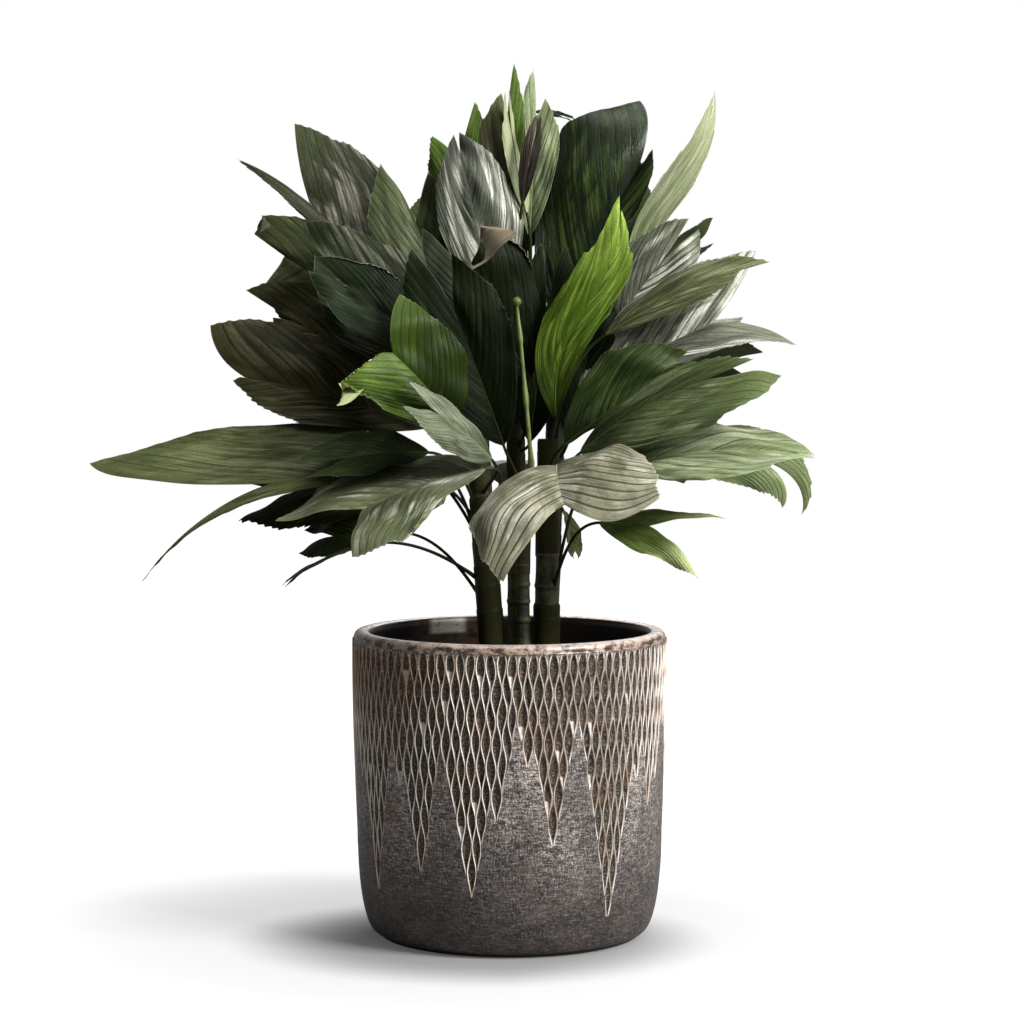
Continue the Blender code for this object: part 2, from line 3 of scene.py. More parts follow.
import bpy
import numpy as np
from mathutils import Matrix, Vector


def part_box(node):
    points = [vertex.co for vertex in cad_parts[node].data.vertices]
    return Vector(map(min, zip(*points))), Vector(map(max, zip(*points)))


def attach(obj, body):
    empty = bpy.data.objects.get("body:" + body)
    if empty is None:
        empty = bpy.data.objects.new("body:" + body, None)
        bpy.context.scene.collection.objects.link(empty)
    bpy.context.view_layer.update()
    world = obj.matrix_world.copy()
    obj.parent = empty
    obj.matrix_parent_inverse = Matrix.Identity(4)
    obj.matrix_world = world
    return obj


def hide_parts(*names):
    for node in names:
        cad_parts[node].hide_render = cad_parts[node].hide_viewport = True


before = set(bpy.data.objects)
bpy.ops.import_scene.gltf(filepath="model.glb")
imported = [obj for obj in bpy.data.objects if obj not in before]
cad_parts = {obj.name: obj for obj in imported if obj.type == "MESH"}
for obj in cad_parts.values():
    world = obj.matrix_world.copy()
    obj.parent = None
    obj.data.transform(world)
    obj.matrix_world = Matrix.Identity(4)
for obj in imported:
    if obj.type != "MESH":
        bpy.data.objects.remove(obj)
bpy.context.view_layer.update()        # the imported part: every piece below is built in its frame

mm = 0.001


# Shader maths: an expression on wires adds the nodes that it needs
class Wire:
    def __init__(self, tree, socket=None):
        self.tree = tree
        self.socket = socket

    def node(self, kind, settings=None, sockets=None, out=0):
        made = self.tree.nodes.new(kind)
        for key, value in (settings or {}).items():
            setattr(made, key, value)
        for key, value in (sockets or {}).items():
            if isinstance(value, Wire):
                self.tree.links.new(value.socket, made.inputs[key])
            elif isinstance(value, tuple) and made.inputs[key].type == "RGBA":
                made.inputs[key].default_value = (*value, 1.0)
            else:
                made.inputs[key].default_value = value
        return Wire(self.tree, made.outputs[out])

    def maths(self, operation, a, b=0.0):
        return self.node("ShaderNodeMath", {"operation": operation}, {0: a, 1: b})

    def __add__(self, other):
        return self.maths("ADD", self, other)

    def __radd__(self, other):
        return self.maths("ADD", other, self)

    def __sub__(self, other):
        return self.maths("SUBTRACT", self, other)

    def __rsub__(self, other):
        return self.maths("SUBTRACT", other, self)

    def __mul__(self, other):
        return self.maths("MULTIPLY", self, other)

    def __rmul__(self, other):
        return self.maths("MULTIPLY", other, self)

    def step(self, low, high):      # 0 below low and 1 above high, or the other way round
        return self.node("ShaderNodeMapRange", {"interpolation_type": "SMOOTHSTEP"},
                         {0: self, 1: low, 2: high, 3: 0.0, 4: 1.0})

    def over(self, below, above, how="MIX"):     # this wire is the share of above
        return self.node("ShaderNodeMix", {"data_type": "RGBA", "blend_type": how},
                         {0: self, 6: below, 7: above}, out=2)

    def layer(self, name):          # a value kept on the mesh's points
        return self.node("ShaderNodeAttribute", {"attribute_name": name}, out="Fac")

    def at(self, x, y, z):
        return self.node("ShaderNodeCombineXYZ", {}, {0: x, 1: y, 2: z})

    def place(self, x=1.0, y=1.0, z=1.0):        # place in the row frame, stretched
        spot = self.node("ShaderNodeTexCoord", out="Object")
        return self.node("ShaderNodeVectorMath", {"operation": "MULTIPLY"}, {0: spot, 1: (x, y, z)})

    def axes(self):                 # x, y and z in metres
        parts = self.node("ShaderNodeSeparateXYZ", {}, {0: self.place()}).socket.node.outputs
        return [Wire(self.tree, part) for part in parts]

    def noise(self, where, scale, detail=2.0, rough=0.5):
        return self.node("ShaderNodeTexNoise", {},
                         {"Vector": where, "Scale": scale, "Detail": detail, "Roughness": rough})

    def grit(self, scale, detail=3.0, rough=0.5, stretch=(1.0, 1.0, 1.0)):      # noise in the row frame
        return self.noise(self.place(*stretch), scale, detail, rough)


def coated(name, surface, depth=0.0, **fixed):
    # surface gives colour, roughness, metallic and height; height is worth depth metres
    made = bpy.data.materials.new(name)
    made.use_nodes = True
    tree = made.node_tree
    shader = tree.nodes["Principled BSDF"]
    colour, roughness, metallic, height = surface(Wire(tree))
    for socket, value in {"Base Color": colour, "Roughness": roughness, "Metallic": metallic}.items():
        if isinstance(value, Wire):
            tree.links.new(value.socket, shader.inputs[socket])
        else:
            shader.inputs[socket].default_value = value
    if height:
        bump = height.node("ShaderNodeBump", {}, {"Strength": 1.0, "Distance": depth, "Height": height})
        tree.links.new(bump.socket, shader.inputs["Normal"])
    for socket, value in fixed.items():
        shader.inputs[socket.replace("_", " ")].default_value = value
    return made


# Meshes: a part is (points, faces, values on the points), and parts join into one piece
def unit(vectors):
    return vectors / np.maximum(np.linalg.norm(vectors, axis=-1, keepdims=True), 1e-12)


def smooth(value, low, high):
    share = np.clip((value - low) / (high - low), 0, 1)
    return share * share * (3 - 2 * share)


def spun(vectors, axis, degrees):
    angle = np.radians(degrees)[..., None]
    along = (vectors * axis).sum(-1, keepdims=True)
    turned = vectors * np.cos(angle) + np.cross(axis, vectors) * np.sin(angle)
    return turned + axis * along * (1 - np.cos(angle))


def piece(name, parts, material, standsFor=None, sharp=60):
    # joins the parts into one mesh that rides on the root body and stands for a CAD node
    layers = sorted({layer for part in parts for layer in part[2]})
    points, faces, offset = [], [], 0
    values = {layer: [] for layer in layers}
    for partPoints, partFaces, partValues in parts:
        points.append(partPoints)
        faces += [tuple(index + offset for index in face) for face in partFaces]
        offset += len(partPoints)
        for layer in layers:
            values[layer].append(np.broadcast_to(partValues.get(layer, 0.0), len(partPoints)))
    mesh = bpy.data.meshes.new(name)
    mesh.from_pydata(np.concatenate(points).tolist(), [], faces)
    for layer in layers:
        stored = mesh.attributes.new(layer, "FLOAT", "POINT")
        stored.data.foreach_set("value", np.concatenate(values[layer]).astype(np.float32))
    mesh.materials.append(material)
    mesh.shade_smooth()
    mesh.set_sharp_from_angle(angle=math.radians(sharp))
    made = bpy.data.objects.new(name, mesh)
    bpy.context.scene.collection.objects.link(made)
    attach(made, "root")
    if standsFor:
        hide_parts(standsFor)
    return made


def gridFaces(rows, columns, flip=False, closed=False, start=0):
    faces = []
    for row in range(rows - 1):
        for column in range(columns if closed else columns - 1):
            a = start + row * columns + column
            b = start + row * columns + (column + 1) % columns
            face = (a, b, b + columns, a + columns)
            faces.append(face[::-1] if flip else face)
    return faces


def circle(steps):              # angles once round
    return np.linspace(0, 2 * math.pi, steps, endpoint=False)


def tube(path, radii, sides, values):
    # a closed rod along a path, with a radius and values at each of its points
    forward = unit(np.gradient(path, axis=0))
    across = np.cross(forward, (0.0, 0.0, 1.0))
    weak = np.linalg.norm(across, axis=1) < 0.15
    across[weak] = np.cross(forward[weak], (0.0, 1.0, 0.0))
    across = unit(across)
    for row in range(1, len(across)):       # the section never turns over
        if across[row] @ across[row - 1] < 0:
            across[row] *= -1
    upward = np.cross(across, forward)
    turn = circle(sides)[None, :, None]
    ring = across[:, None] * np.cos(turn) + upward[:, None] * np.sin(turn)
    points = (path[:, None] + ring * radii[:, None, None]).reshape(-1, 3)
    faces = gridFaces(len(path), sides, closed=True)
    first, last, end = len(points), len(points) + 1, (len(path) - 1) * sides
    faces += [(first, (side + 1) % sides, side) for side in range(sides)]
    faces += [(last, end + side, end + (side + 1) % sides) for side in range(sides)]
    points = np.vstack([points, path[:1], path[-1:]])
    full = {}
    for layer, value in values.items():
        value = np.broadcast_to(value, len(path))
        full[layer] = np.concatenate([np.repeat(value, sides), value[:1], value[-1:]])
    return points, faces, full


def lathe(outline, steps, values=None):
    # a closed half section in mm, down the outside first, turned about Z
    outline = np.asarray(outline, float) * mm
    turn = circle(steps)
    points = np.stack([outline[:, None, 0] * np.cos(turn), outline[:, None, 0] * np.sin(turn),
                       np.repeat(outline[:, None, 1], steps, 1)], -1).reshape(-1, 3)
    rows = len(outline)
    faces = gridFaces(rows, steps, flip=True, closed=True)
    for step in range(steps):
        after = (step + 1) % steps
        faces.append((step, after, (rows - 1) * steps + after, (rows - 1) * steps + step))
    full = {layer: np.repeat(np.broadcast_to(value, rows), steps) for layer, value in (values or {}).items()}
    return points, faces, full


print("cover pot")
pot = dict(
    height=214.0, widest=110.3,
    shoulder=195.0,         # height of the widest ring
    heel=(107.0, 70.0, 2.1),    # its radius at the top, its height, and how full its curve is
    foot=(92.0, 2.5),       # radius and height
    wall=12.0, floor=14.0,
    meanRadius=109.3,       # of the carved wall
    carvingFoot=26.0,       # no cell reaches below this height
    rows=(122, 14),         # rows of points up the carved wall, and up the plain one below it
    ridges=196,             # upright ridges round the pot, a column of cells between each two
    topRow=199.0,           # height of the first row's middle
    pitch=(16.6, 0.12),     # rows lie this far apart, and a little more lower down
    crownLine=207.4,        # the carving's upper end
    scoop=2.5,              # depth of a cell
    ridgeHalf=0.60,         # half a ridge's width, at most
    ridgeLift=0.22,         # how far a ridge stands out of the wall
    tipDrop=12.3,           # from a cell's middle down to its point
    unevenness=(0.80, 1.10),    # least and greatest share of that depth
    jitter=(0.07, 0.055),   # share of a row that cells lie out of it: along a column, and by column
    sway=(0.26, 0.20),      # mm that ridges lie to the side: along a ridge, and by ridge
    glinting=0.91,           # cells that draw more than this from 0 to 1 get a painted glint, a pale highlight low in the cell
)
# Lowest reach of the carving round the pot: angle from the front (right is positive), height
# in mm. Every second entry is a hanging point, and the ones between are the arches.
hanging = [
    (-56.8, 51), (-48, 144), (-33.5, 63), (-25.5, 137), (-12, 44), (3, 152), (17, 82), (25.2, 142),
    (40.2, 30), (55.5, 143), (63, 97), (75, 150), (89, 52), (101, 138), (112, 76), (124, 148),
    (137, 36), (148, 136), (160, 86), (171, 152), (183, 44), (194, 140), (205, 72),
    (217, 150), (228, 38), (239, 134), (250, 82), (260, 150), (272, 58), (287, 142),
]


def wallRadius(height):
    heelRadius, heelHeight, roundness = pot["heel"]
    lift = np.clip((height - pot["foot"][1]) / heelHeight, 0, 1)
    drop = 1 - (1 - (1 - lift) ** roundness) ** (1 / roundness)
    heel = heelRadius - (heelRadius - pot["foot"][0] - 1.5) * drop
    share = np.clip((height - heelHeight - pot["foot"][1]) / (pot["shoulder"] - heelHeight), 0, 1)
    return heel + (pot["widest"] - heelRadius) * np.sin(share * math.pi / 2)


def rowHeight(row):
    return pot["topRow"] - pot["pitch"][0] * row - pot["pitch"][1] * row ** 2


def rowAt(height):
    first, second = pot["pitch"]
    below = np.maximum(pot["topRow"] - height, -40)
    return (np.sqrt(first ** 2 + 4 * second * below) - first) / (2 * second)


def carvingReach(angle):
    # the hanging points move to the nearest cell, so that each ends in a whole one
    gapAngle = 360 / pot["ridges"]
    corners = []
    for place, (turn, height) in enumerate(hanging):
        if place % 2 == 0:
            row = round(float(rowAt(height + pot["tipDrop"])))
            gap = 2 * round((turn / gapAngle - 0.5 - row % 2) / 2) + row % 2
            turn, height = (gap + 0.5) * gapAngle, rowHeight(row) - pot["tipDrop"]
        corners.append((turn % 360, height))
    turns, heights = zip(*sorted(corners))
    return np.interp(angle % 360, turns, heights, period=360)


def bow(phase, gap):
    # how far a ridge stands to the side: neighbours bow apart and meet again, two rows further on
    lean = np.arcsin(0.55 * np.cos(math.pi * phase)) / math.asin(0.55)
    return np.where(gap % 2 == 0, -1, 1) * lean


def wallPoints(heights, radius, turn):
    # points round the wall, starting at the front; radius is in metres
    return np.stack([radius * np.sin(turn), -radius * np.cos(turn),
                     np.repeat(heights * mm, turn.shape[1], 1)], -1).reshape(-1, 3)


def carvedWall():
    count, crownLine = pot["ridges"], pot["crownLine"]
    chance = np.random.default_rng(41)
    heights = np.linspace(pot["carvingFoot"], crownLine + 0.8, pot["rows"][0])[:, None]
    spacing = 2 * math.pi * pot["meanRadius"] / count       # mm from ridge to ridge
    gaps = np.arange(count)[None, :]
    slow, byColumn = pot["jitter"]
    jitter = slow * np.sin(heights / 31.0 + gaps * 2.4) + chance.normal(0, byColumn, (1, count))
    phase = rowAt(heights) + jitter
    order = np.round((phase - gaps % 2) / 2) * 2 + gaps % 2
    local = order - phase                       # 1 at a cell's top, -1 at its foot
    lowest = carvingReach((gaps + 0.5) * 360 / count) - 3.5
    there = (order >= 0) & (rowHeight(order) - pot["tipDrop"] > lowest)
    cell = (gaps, np.clip(order, 0, 11).astype(int))
    uneven = chance.uniform(*pot["unevenness"], (count, 12))[cell]
    facet = chance.uniform(0, 1, (count, 12))[cell]
    slow, byRidge = pot["sway"]
    sway = chance.normal(0, byRidge, (1, count)) + slow * np.sin(heights / 11.0 + gaps * 1.7)
    ridge = gaps * spacing + (spacing / 2 - 0.34) * bow(phase, gaps) + sway
    nextRidge = np.roll(ridge, -1, axis=1)
    nextRidge[:, -1] += spacing * count
    width = nextRidge - ridge
    crown = smooth(heights, crownLine, crownLine - 1.3)
    shoulder = smooth(heights, crownLine - 0.6, crownLine - 3.6)
    carved = there * np.clip((0.92 - np.abs(local)) / 0.07, 0, 1)
    ends = smooth(local, 0.94, 0.25) * smooth(local, -0.92, -0.55)
    depth = carved * uneven * pot["scoop"] * ends * np.clip((width - 0.8) / 3.6, 0, 1) ** 0.8
    depth = depth * np.where(order == 0, crown, 1)
    side = depth * np.where(order == 0, shoulder, 1)
    crest = np.maximum(carved, np.roll(carved, 1, axis=1)) * crown
    near = np.clip(width * 0.30, 0.05, pot["ridgeHalf"])
    # painted glint: a pale highlight over the lower part of a few cells, in the colour only
    sill = carved * (facet > pot["glinting"]) * smooth(local, 0.60 - 0.80 * facet, 0.35 - 0.80 * facet)
    steep, zero = np.sqrt(side / pot["scoop"]), 0 * depth
    columns = [         # place round the wall, how far out, and values for ridge, hollow and painted glint
        (ridge, pot["ridgeLift"] * crest, crest, zero, zero),
        (ridge + near, -0.30 * side, 0.12 * crest, steep * 0.8, sill),
        (ridge + width * 0.52, -depth, zero, depth / pot["scoop"], sill * 0.75),
        (nextRidge - near, -0.42 * side, 0.12 * crest, steep, zero),
    ]
    around, out, ridgeValue, hollow, glintValue = (np.stack(values, 2).reshape(len(heights), -1)
                                                  for values in zip(*columns))
    turn = around / (spacing * count) * 2 * math.pi
    points = wallPoints(heights, (wallRadius(heights) + out) * mm, turn)
    values = {"ridge": ridgeValue.ravel(), "hollow": hollow.ravel(), "sill": glintValue.ravel()}
    return points, gridFaces(len(heights), turn.shape[1], closed=True), values


def plainWall():
    # the wall below the carving, down to the foot
    heights = np.linspace(pot["foot"][1] + 0.3, pot["carvingFoot"], pot["rows"][1])[:, None]
    points = wallPoints(heights, wallRadius(heights) * mm, circle(pot["ridges"])[None, :])
    return points, gridFaces(len(heights), pot["ridges"], closed=True), {}


def wallSurface(w):
    ridge, hollow, sill = (w.layer(name) for name in ("ridge", "hollow", "sill"))
    x, _y, z = w.axes()
    grain = w.grit(950.0, rough=0.75)
    upright = w.grit(1000.0, rough=0.65, stretch=(1.0, 1.0, 0.25))
    level = w.grit(900.0, rough=0.65, stretch=(0.20, 0.20, 1.0))
    clouds = w.grit(20.0, 4.0, 0.55, (1.0, 1.0, 0.6))
    patches = w.grit(70.0)
    # dark ground with a fine silver dry brush, thickest between the hanging points
    brushed = upright.step(0.40, 0.68) * 0.45 + level.step(0.42, 0.66) * 0.55
    high = z.step(0.015, 0.125)
    amount = brushed * grain.step(0.34, 0.66) * (0.30 + 0.60 * high + 0.95 * clouds.step(0.44, 0.66) * high)
    ground = patches.step(0.40, 0.66).over((0.020, 0.016, 0.014), (0.052, 0.040, 0.034))
    plain = amount.over(ground, (0.86, 0.76, 0.70))
    rusty = w.grit(45.0, stretch=(1.0, 1.0, 0.35)).step(0.60, 0.70) * z.step(0.04, 0.11) * 0.5
    plain = (rusty * grain.step(0.35, 0.6)).over(plain, (0.20, 0.10, 0.045))
    # scoops: nearly black, with dusty specks on the floor, and in some a painted glint: a pale highlight low
    # in the cell
    specks = grain.step(0.49, 0.61) * 0.70
    deep = patches.step(0.40, 0.66).over((0.006, 0.004, 0.003), (0.030, 0.021, 0.015))
    scooped = specks.over(deep, (0.40, 0.30, 0.22))
    scooped = (sill.step(0.25, 0.55) * grain.step(0.28, 0.46)).over(scooped, (0.72, 0.66, 0.61))
    cream = patches.step(0.42, 0.64).over((0.97, 0.90, 0.82), (0.78, 0.61, 0.49))
    copper = (0.0 - x + clouds * 0.06).step(0.055, 0.10) * z.step(0.14, 0.19)
    cream = (copper * 0.75).over(cream, (0.40, 0.19, 0.09))
    colour = hollow.step(0.08, 0.32).over(plain, scooped)
    colour = (ridge.step(0.22, 0.62) * (0.72 + 0.28 * grain.step(0.26, 0.46))).over(colour, cream)
    roughness = 0.36 + 0.28 * grain
    metallic = 0.15 + 0.25 * amount
    height = grain * 0.45 + upright * 0.30 + level * 0.25
    return colour, roughness, metallic, height


def rimSurface(w):
    x, y, z = w.axes()
    inside = w.layer("inside")
    patches = w.grit(120.0, 5.0, 0.75, (1.0, 1.0, 1.6))
    grain = w.grit(900.0, rough=0.65)
    bronze = patches.step(0.42, 0.58).over((0.050, 0.030, 0.020), (0.60, 0.43, 0.33))
    bronze = (grain.step(0.50, 0.66) * 0.6).over(bronze, (0.070, 0.046, 0.033))
    # the lip's top in pale pink: a painted highlight where the light falls on it
    pink = grain.step(0.30, 0.55).over((0.66, 0.50, 0.42), (0.95, 0.84, 0.77))
    paintedTopLight = z.step(0.2112, 0.2130) * patches.step(0.30, 0.50)
    colour = (paintedTopLight * 0.55).over(bronze, pink)
    lining = patches.over((0.006, 0.004, 0.003), (0.016, 0.010, 0.007))
    colour = inside.step(0.4, 0.6).over(colour, lining)
    # inside at the back left a painted reflection: a brown patch with a pale gleam in it
    paintedReflection = z.step(0.182, 0.200) * (0.0 - x).step(0.010, 0.030) * y.step(0.062, 0.080) * inside
    colour = (paintedReflection * patches.step(0.36, 0.52) * 0.85).over(colour, (0.11, 0.065, 0.042))
    paintedGleam = paintedReflection * (0.0 - x).step(0.030, 0.036) * (x + 0.060).step(0.0, 0.006) * z.step(0.201, 0.204)
    colour = (paintedGleam * patches.step(0.30, 0.46)).over(colour, (0.92, 0.86, 0.80))
    # the lowest 12 mm darker: partly the unglazed foot, partly painted shade where the pot meets the floor
    colour = z.step(0.012, 0.006).over(colour, (0.030, 0.026, 0.024))
    roughness = 0.26 + 0.25 * grain
    return colour, roughness, 0.20, patches * 0.6 + grain * 0.4


def lipArc(centre, radius, first, last, steps):     # a lip a little flatter on top than round
    turns = np.radians(np.linspace(first, last, steps + 1))
    square = [np.sign(part) * np.abs(part) ** 0.72 for part in (np.cos(turns), np.sin(turns))]
    return [(centre[0] + radius * x, centre[1] + radius * y) for x, y in zip(*square)]


def potRest():
    # rim band, lip, lining, floor and underside; it runs on a little behind the carved wall
    lip, widest, band = pot["wall"] / 2, pot["widest"], pot["crownLine"]
    foot, step = pot["foot"]
    centre = (widest - 0.9 - lip, pot["height"] - lip)
    outer = lipArc(centre, lip, 90, 0, 14)
    outer += [(widest - 0.72, band + 0.4), (widest - 0.55, band - 0.6), (widest - 3.5, band - 1.6)]
    outer += [(90.5, 8.0), (foot, step + 0.6), (foot, 0.8), (foot - 0.8, 0.0), (70.0, 0.0), (69.0, 1.2)]
    outer += [(2.0, 1.2)]
    inner, floor = widest - pot["wall"], pot["floor"]
    inside = [(2.0, floor), (inner - 26, floor), (inner - 13, floor + 6), (inner - 5, floor + 24)]
    inside += [(inner - 2, floor + 76), (inner - 0.6, 170.0)]
    inside += lipArc(centre, lip, 180, 96, 13)
    marks = [0.0] * len(outer) + [1.0] * len(inside)
    marks[-6:] = [0.6, 0.3, 0.0, 0.0, 0.0, 0.0]
    return lathe(outer + inside, 192, {"inside": np.array(marks)})


carvedGlaze = coated("carved_glaze", wallSurface, 0.35 * mm, Specular_IOR_Level=0.5)
smoothGlaze = coated("smooth_glaze", rimSurface, 0.12 * mm, Coat_Weight=0.2, Coat_Roughness=0.2)
piece("pot_carved_wall", [carvedWall(), plainWall()], carvedGlaze, "pot", sharp=80)
piece("pot_rim_and_lining", [potRest()], smoothGlaze, "pot", sharp=50)


print("nursery pot and soil")
nursery = dict(height=168.0, top=84.0, base=64.0, wall=1.6, rim=5.0, band=12.0, drain=7.0, floor=14.3)


def nurseryPart():
    low, top = nursery["floor"], nursery["floor"] + nursery["height"]
    base, rim, wall, drain = (nursery[key] for key in ("base", "top", "wall", "drain"))
    band = top - nursery["band"]
    waist, under = rim - nursery["rim"], band - 1
    outline = [(rim - 0.5, top), (rim, top - 0.5), (rim, band + 0.4), (rim - 0.6, band)]
    outline += [(waist + 0.6, under), (waist, under - 1)]
    outline += [(waist - (waist - base - 2) * share, under - (under - low - 8) * share)
                for share in np.linspace(0.08, 1.0, 12)]
    outline += [(base, low), (drain, low), (drain, low + wall), (base - wall, low + wall)]
    outline += [(base + 2 - wall, low + 8), (waist - wall, under), (rim - wall - 0.6, under + 2)]
    outline += [(rim - wall, top - 0.4), (rim - wall + 0.4, top)]
    return lathe(outline, 96)


def plasticSurface(w):
    scratches = w.grit(420.0, stretch=(1.0, 1.0, 0.12))
    dust = w.grit(90.0, 4.0, 0.7)
    colour = dust.step(0.45, 0.75).over((0.012, 0.012, 0.012), (0.050, 0.044, 0.038))
    return colour, 0.34 + 0.35 * dust, 0.0, scratches


soil = dict(
    rings=46, steps=110,
    crown=5 * mm,           # the top's rim lies this much below its middle
    lumps=150, lumpSize=(2, 7),         # count, and radius in mm
    crumbs=260, crumbSize=(1.0, 3.4),   # the same for the bark and perlite on top
)


def spotOnSoil(chance, radius):
    return chance.uniform(0, 6.28), radius * math.sqrt(chance.uniform(0, 1))


def soilPart():
    # a lumpy crowned disc with its side going down inside the nursery pot
    low, high = (np.array(corner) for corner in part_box("soil"))
    radius, top = (high[0] - low[0]) / 2, high[2]
    rings, steps = soil["rings"], soil["steps"]
    share = np.linspace(0, 1, rings)[:, None] ** 0.8
    turn = circle(steps)[None, :]
    x, y = share * radius * np.cos(turn), share * radius * np.sin(turn)
    chance = np.random.default_rng(5)
    height = top - soil["crown"] * share ** 2 + 0 * x
    for _ in range(soil["lumps"]):
        angle, far = spotOnSoil(chance, radius)
        size = chance.uniform(*soil["lumpSize"]) * mm
        gap = np.hypot(x - far * math.cos(angle), y - far * math.sin(angle))
        height += chance.uniform(-0.35, 0.45) * size * np.exp(-(gap / size) ** 2)
    points = np.stack([x, y, np.minimum(height, top + 3 * mm)], -1)
    skirt = points[-1:].copy()
    skirt[..., 2] = low[2] + 20 * mm
    skirt[..., :2] *= 0.86
    points = np.concatenate([points, skirt])
    return points.reshape(-1, 3), gridFaces(rings + 1, steps, closed=True), {}


def crumb(chance, centre, size, stretch):
    # one lump of bark or perlite: a rough squashed ball
    rows, steps = 5, 7
    tilt = chance.uniform(0, 3.1)
    points = []
    for row in range(rows):
        lift = math.pi * (row + 0.5) / rows
        for turn in circle(steps):
            far = size * chance.uniform(0.75, 1.15)
            x, y = far * stretch * math.sin(lift) * math.cos(turn), far * math.sin(lift) * math.sin(turn)
            points.append((x * math.cos(tilt) - y * math.sin(tilt), x * math.sin(tilt) + y * math.cos(tilt),
                           far * 0.55 * math.cos(lift)))
    faces = gridFaces(rows, steps, closed=True, flip=True)
    faces += [tuple(range(steps)), tuple(range((rows - 1) * steps, rows * steps))[::-1]]
    return np.array(points) + centre, faces, {"tone": chance.uniform(0, 1)}


def topping():
    chance = np.random.default_rng(12)
    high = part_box("soil")[1]
    radius = high.x - 4 * mm
    parts = []
    for _ in range(soil["crumbs"]):
        angle, far = spotOnSoil(chance, radius)
        size = chance.uniform(*soil["crumbSize"]) * mm
        height = high.z - soil["crown"] * (far / radius) ** 2 + size * 0.15
        centre = np.array([far * math.cos(angle), far * math.sin(angle), height])
        parts.append(crumb(chance, centre, size, chance.uniform(1.0, 1.9)))
    return parts


def soilSurface(w):
    lumps = w.grit(260.0, 5.0, 0.7)
    clods = w.grit(60.0)
    colour = lumps.step(0.35, 0.68).over((0.010, 0.006, 0.004), (0.070, 0.042, 0.024))
    colour = (clods.step(0.55, 0.7) * 0.5).over(colour, (0.11, 0.075, 0.045))
    return colour, 0.85 + 0.1 * lumps, 0.0, lumps


def barkSurface(w):
    tone, grain = w.layer("tone"), w.grit(900.0, 4.0, 0.7)
    colour = tone.step(0.1, 0.9).over((0.030, 0.017, 0.010), (0.17, 0.10, 0.055))
    colour = tone.step(0.93, 0.94).over(colour, (0.55, 0.53, 0.48))
    colour = (grain.step(0.45, 0.65) * 0.6).over(colour, (0.020, 0.012, 0.008))
    return colour, 0.8 + 0.15 * grain, 0.0, grain


piece("nursery_pot_shell", [nurseryPart()], coated("dusty_plastic", plasticSurface, 0.1 * mm),
      "nursery_pot")
piece("soil_surface", [soilPart()], coated("damp_soil", soilSurface, 1.2 * mm), "soil")
piece("soil_bark_topping", topping(), coated("bark_crumbs", barkSurface, 0.4 * mm))


print("canes and flower spike")
caneFoot = 125.3        # the canes stand this high above the floor, inside the soil
caneMake = dict(
    rows=150, sides=28,
    bare=25,                            # mm of the foot left out, deep in the soil
    ends=(30, 14),                      # no ring lies nearer to the foot and to the head
    slim=0.94,                          # between the rings, as a share of the cane's radius
    collar=(0.55, 1.1),                 # a ring's height and width
    groove=(0.25, 1.2, 2.4),            # depth and width, and how far it lies under the ring
    swell=(0.045, 5.0),                 # share of the radius that a joint swells, and its width
    crown=(0.97, 0.92, 0.83, 0.68, 0.45, 0.15),     # shares of the radius over the last rows
)
canes = {
    "cane_left": dict(foot=(-6, -14), head=(-24, -16, 360), radius=(10, 7), ring=26, tone="dark"),
    "cane_right": dict(foot=(25, -10), head=(27, -8, 345), radius=(10.5, 7), ring=23, tone="olive"),
    "cane_front": dict(foot=(9, -24), head=(10, -28, 325), radius=(5.5, 4), ring=17, tone="fresh"),
    "cane_back": dict(foot=(6, 14), head=(4, 18, 400), radius=(8, 5.5), ring=24, tone="olive"),
    "cane_back_left": dict(foot=(-8, 34), head=(-24, 40, 385), radius=(8, 6), ring=27, tone="dark"),
    "cane_back_right": dict(foot=(24, 34), head=(34, 40, 390), radius=(8, 6), ring=22, tone="olive"),
}
caneTones = {
    "dark": ((0.004, 0.005, 0.002), (0.034, 0.044, 0.008), (0.055, 0.042, 0.014)),
    "olive": ((0.006, 0.007, 0.002), (0.068, 0.076, 0.014), (0.100, 0.066, 0.018)),
    "fresh": ((0.006, 0.008, 0.003), (0.036, 0.046, 0.010), (0.095, 0.060, 0.024)),
}


def canePoint(cane, height):
    foot, head = np.array([*cane["foot"], caneFoot]), np.array(cane["head"], float)
    share = (np.asarray(height, float) - foot[2]) / (head[2] - foot[2])
    return (foot + (head - foot) * share[..., None]) * mm


def caneRadius(cane, height):
    low, high = cane["radius"]
    share = (np.asarray(height, float) - caneFoot) / (cane["head"][2] - caneFoot)
    return (low + (high - low) * share) * mm


def canePart(cane):
    # rings where old leaves grew, each a thin raised collar with a groove under it
    top = cane["head"][2]
    heights = np.linspace(caneFoot + caneMake["bare"], top, caneMake["rows"])
    chance = np.random.default_rng(int(top))
    marks, mark = [], caneFoot + caneMake["ends"][0]
    while mark < top - caneMake["ends"][1]:
        marks.append(mark)
        upwards = (mark - caneFoot) / (top - caneFoot)
        mark += cane["ring"] * chance.uniform(0.75, 1.2) * (1.15 - 0.5 * upwards)

    def rings(width, under=0.0):
        gap = heights[:, None] + under - np.array(marks)[None, :]
        return np.exp(-(gap / width) ** 2).sum(1)

    high, thick = caneMake["collar"]
    deep, wide, under = caneMake["groove"]
    swollen, span = caneMake["swell"]
    collar, groove = rings(thick), rings(wide, under)
    radii = caneRadius(cane, heights) * (caneMake["slim"] + swollen * rings(span))
    radii = radii + (high * collar - deep * groove) * mm
    radii[-len(caneMake["crown"]):] *= np.array(caneMake["crown"])
    return tube(canePoint(cane, heights), radii, caneMake["sides"], {"ringed": collar, "grooved": groove})


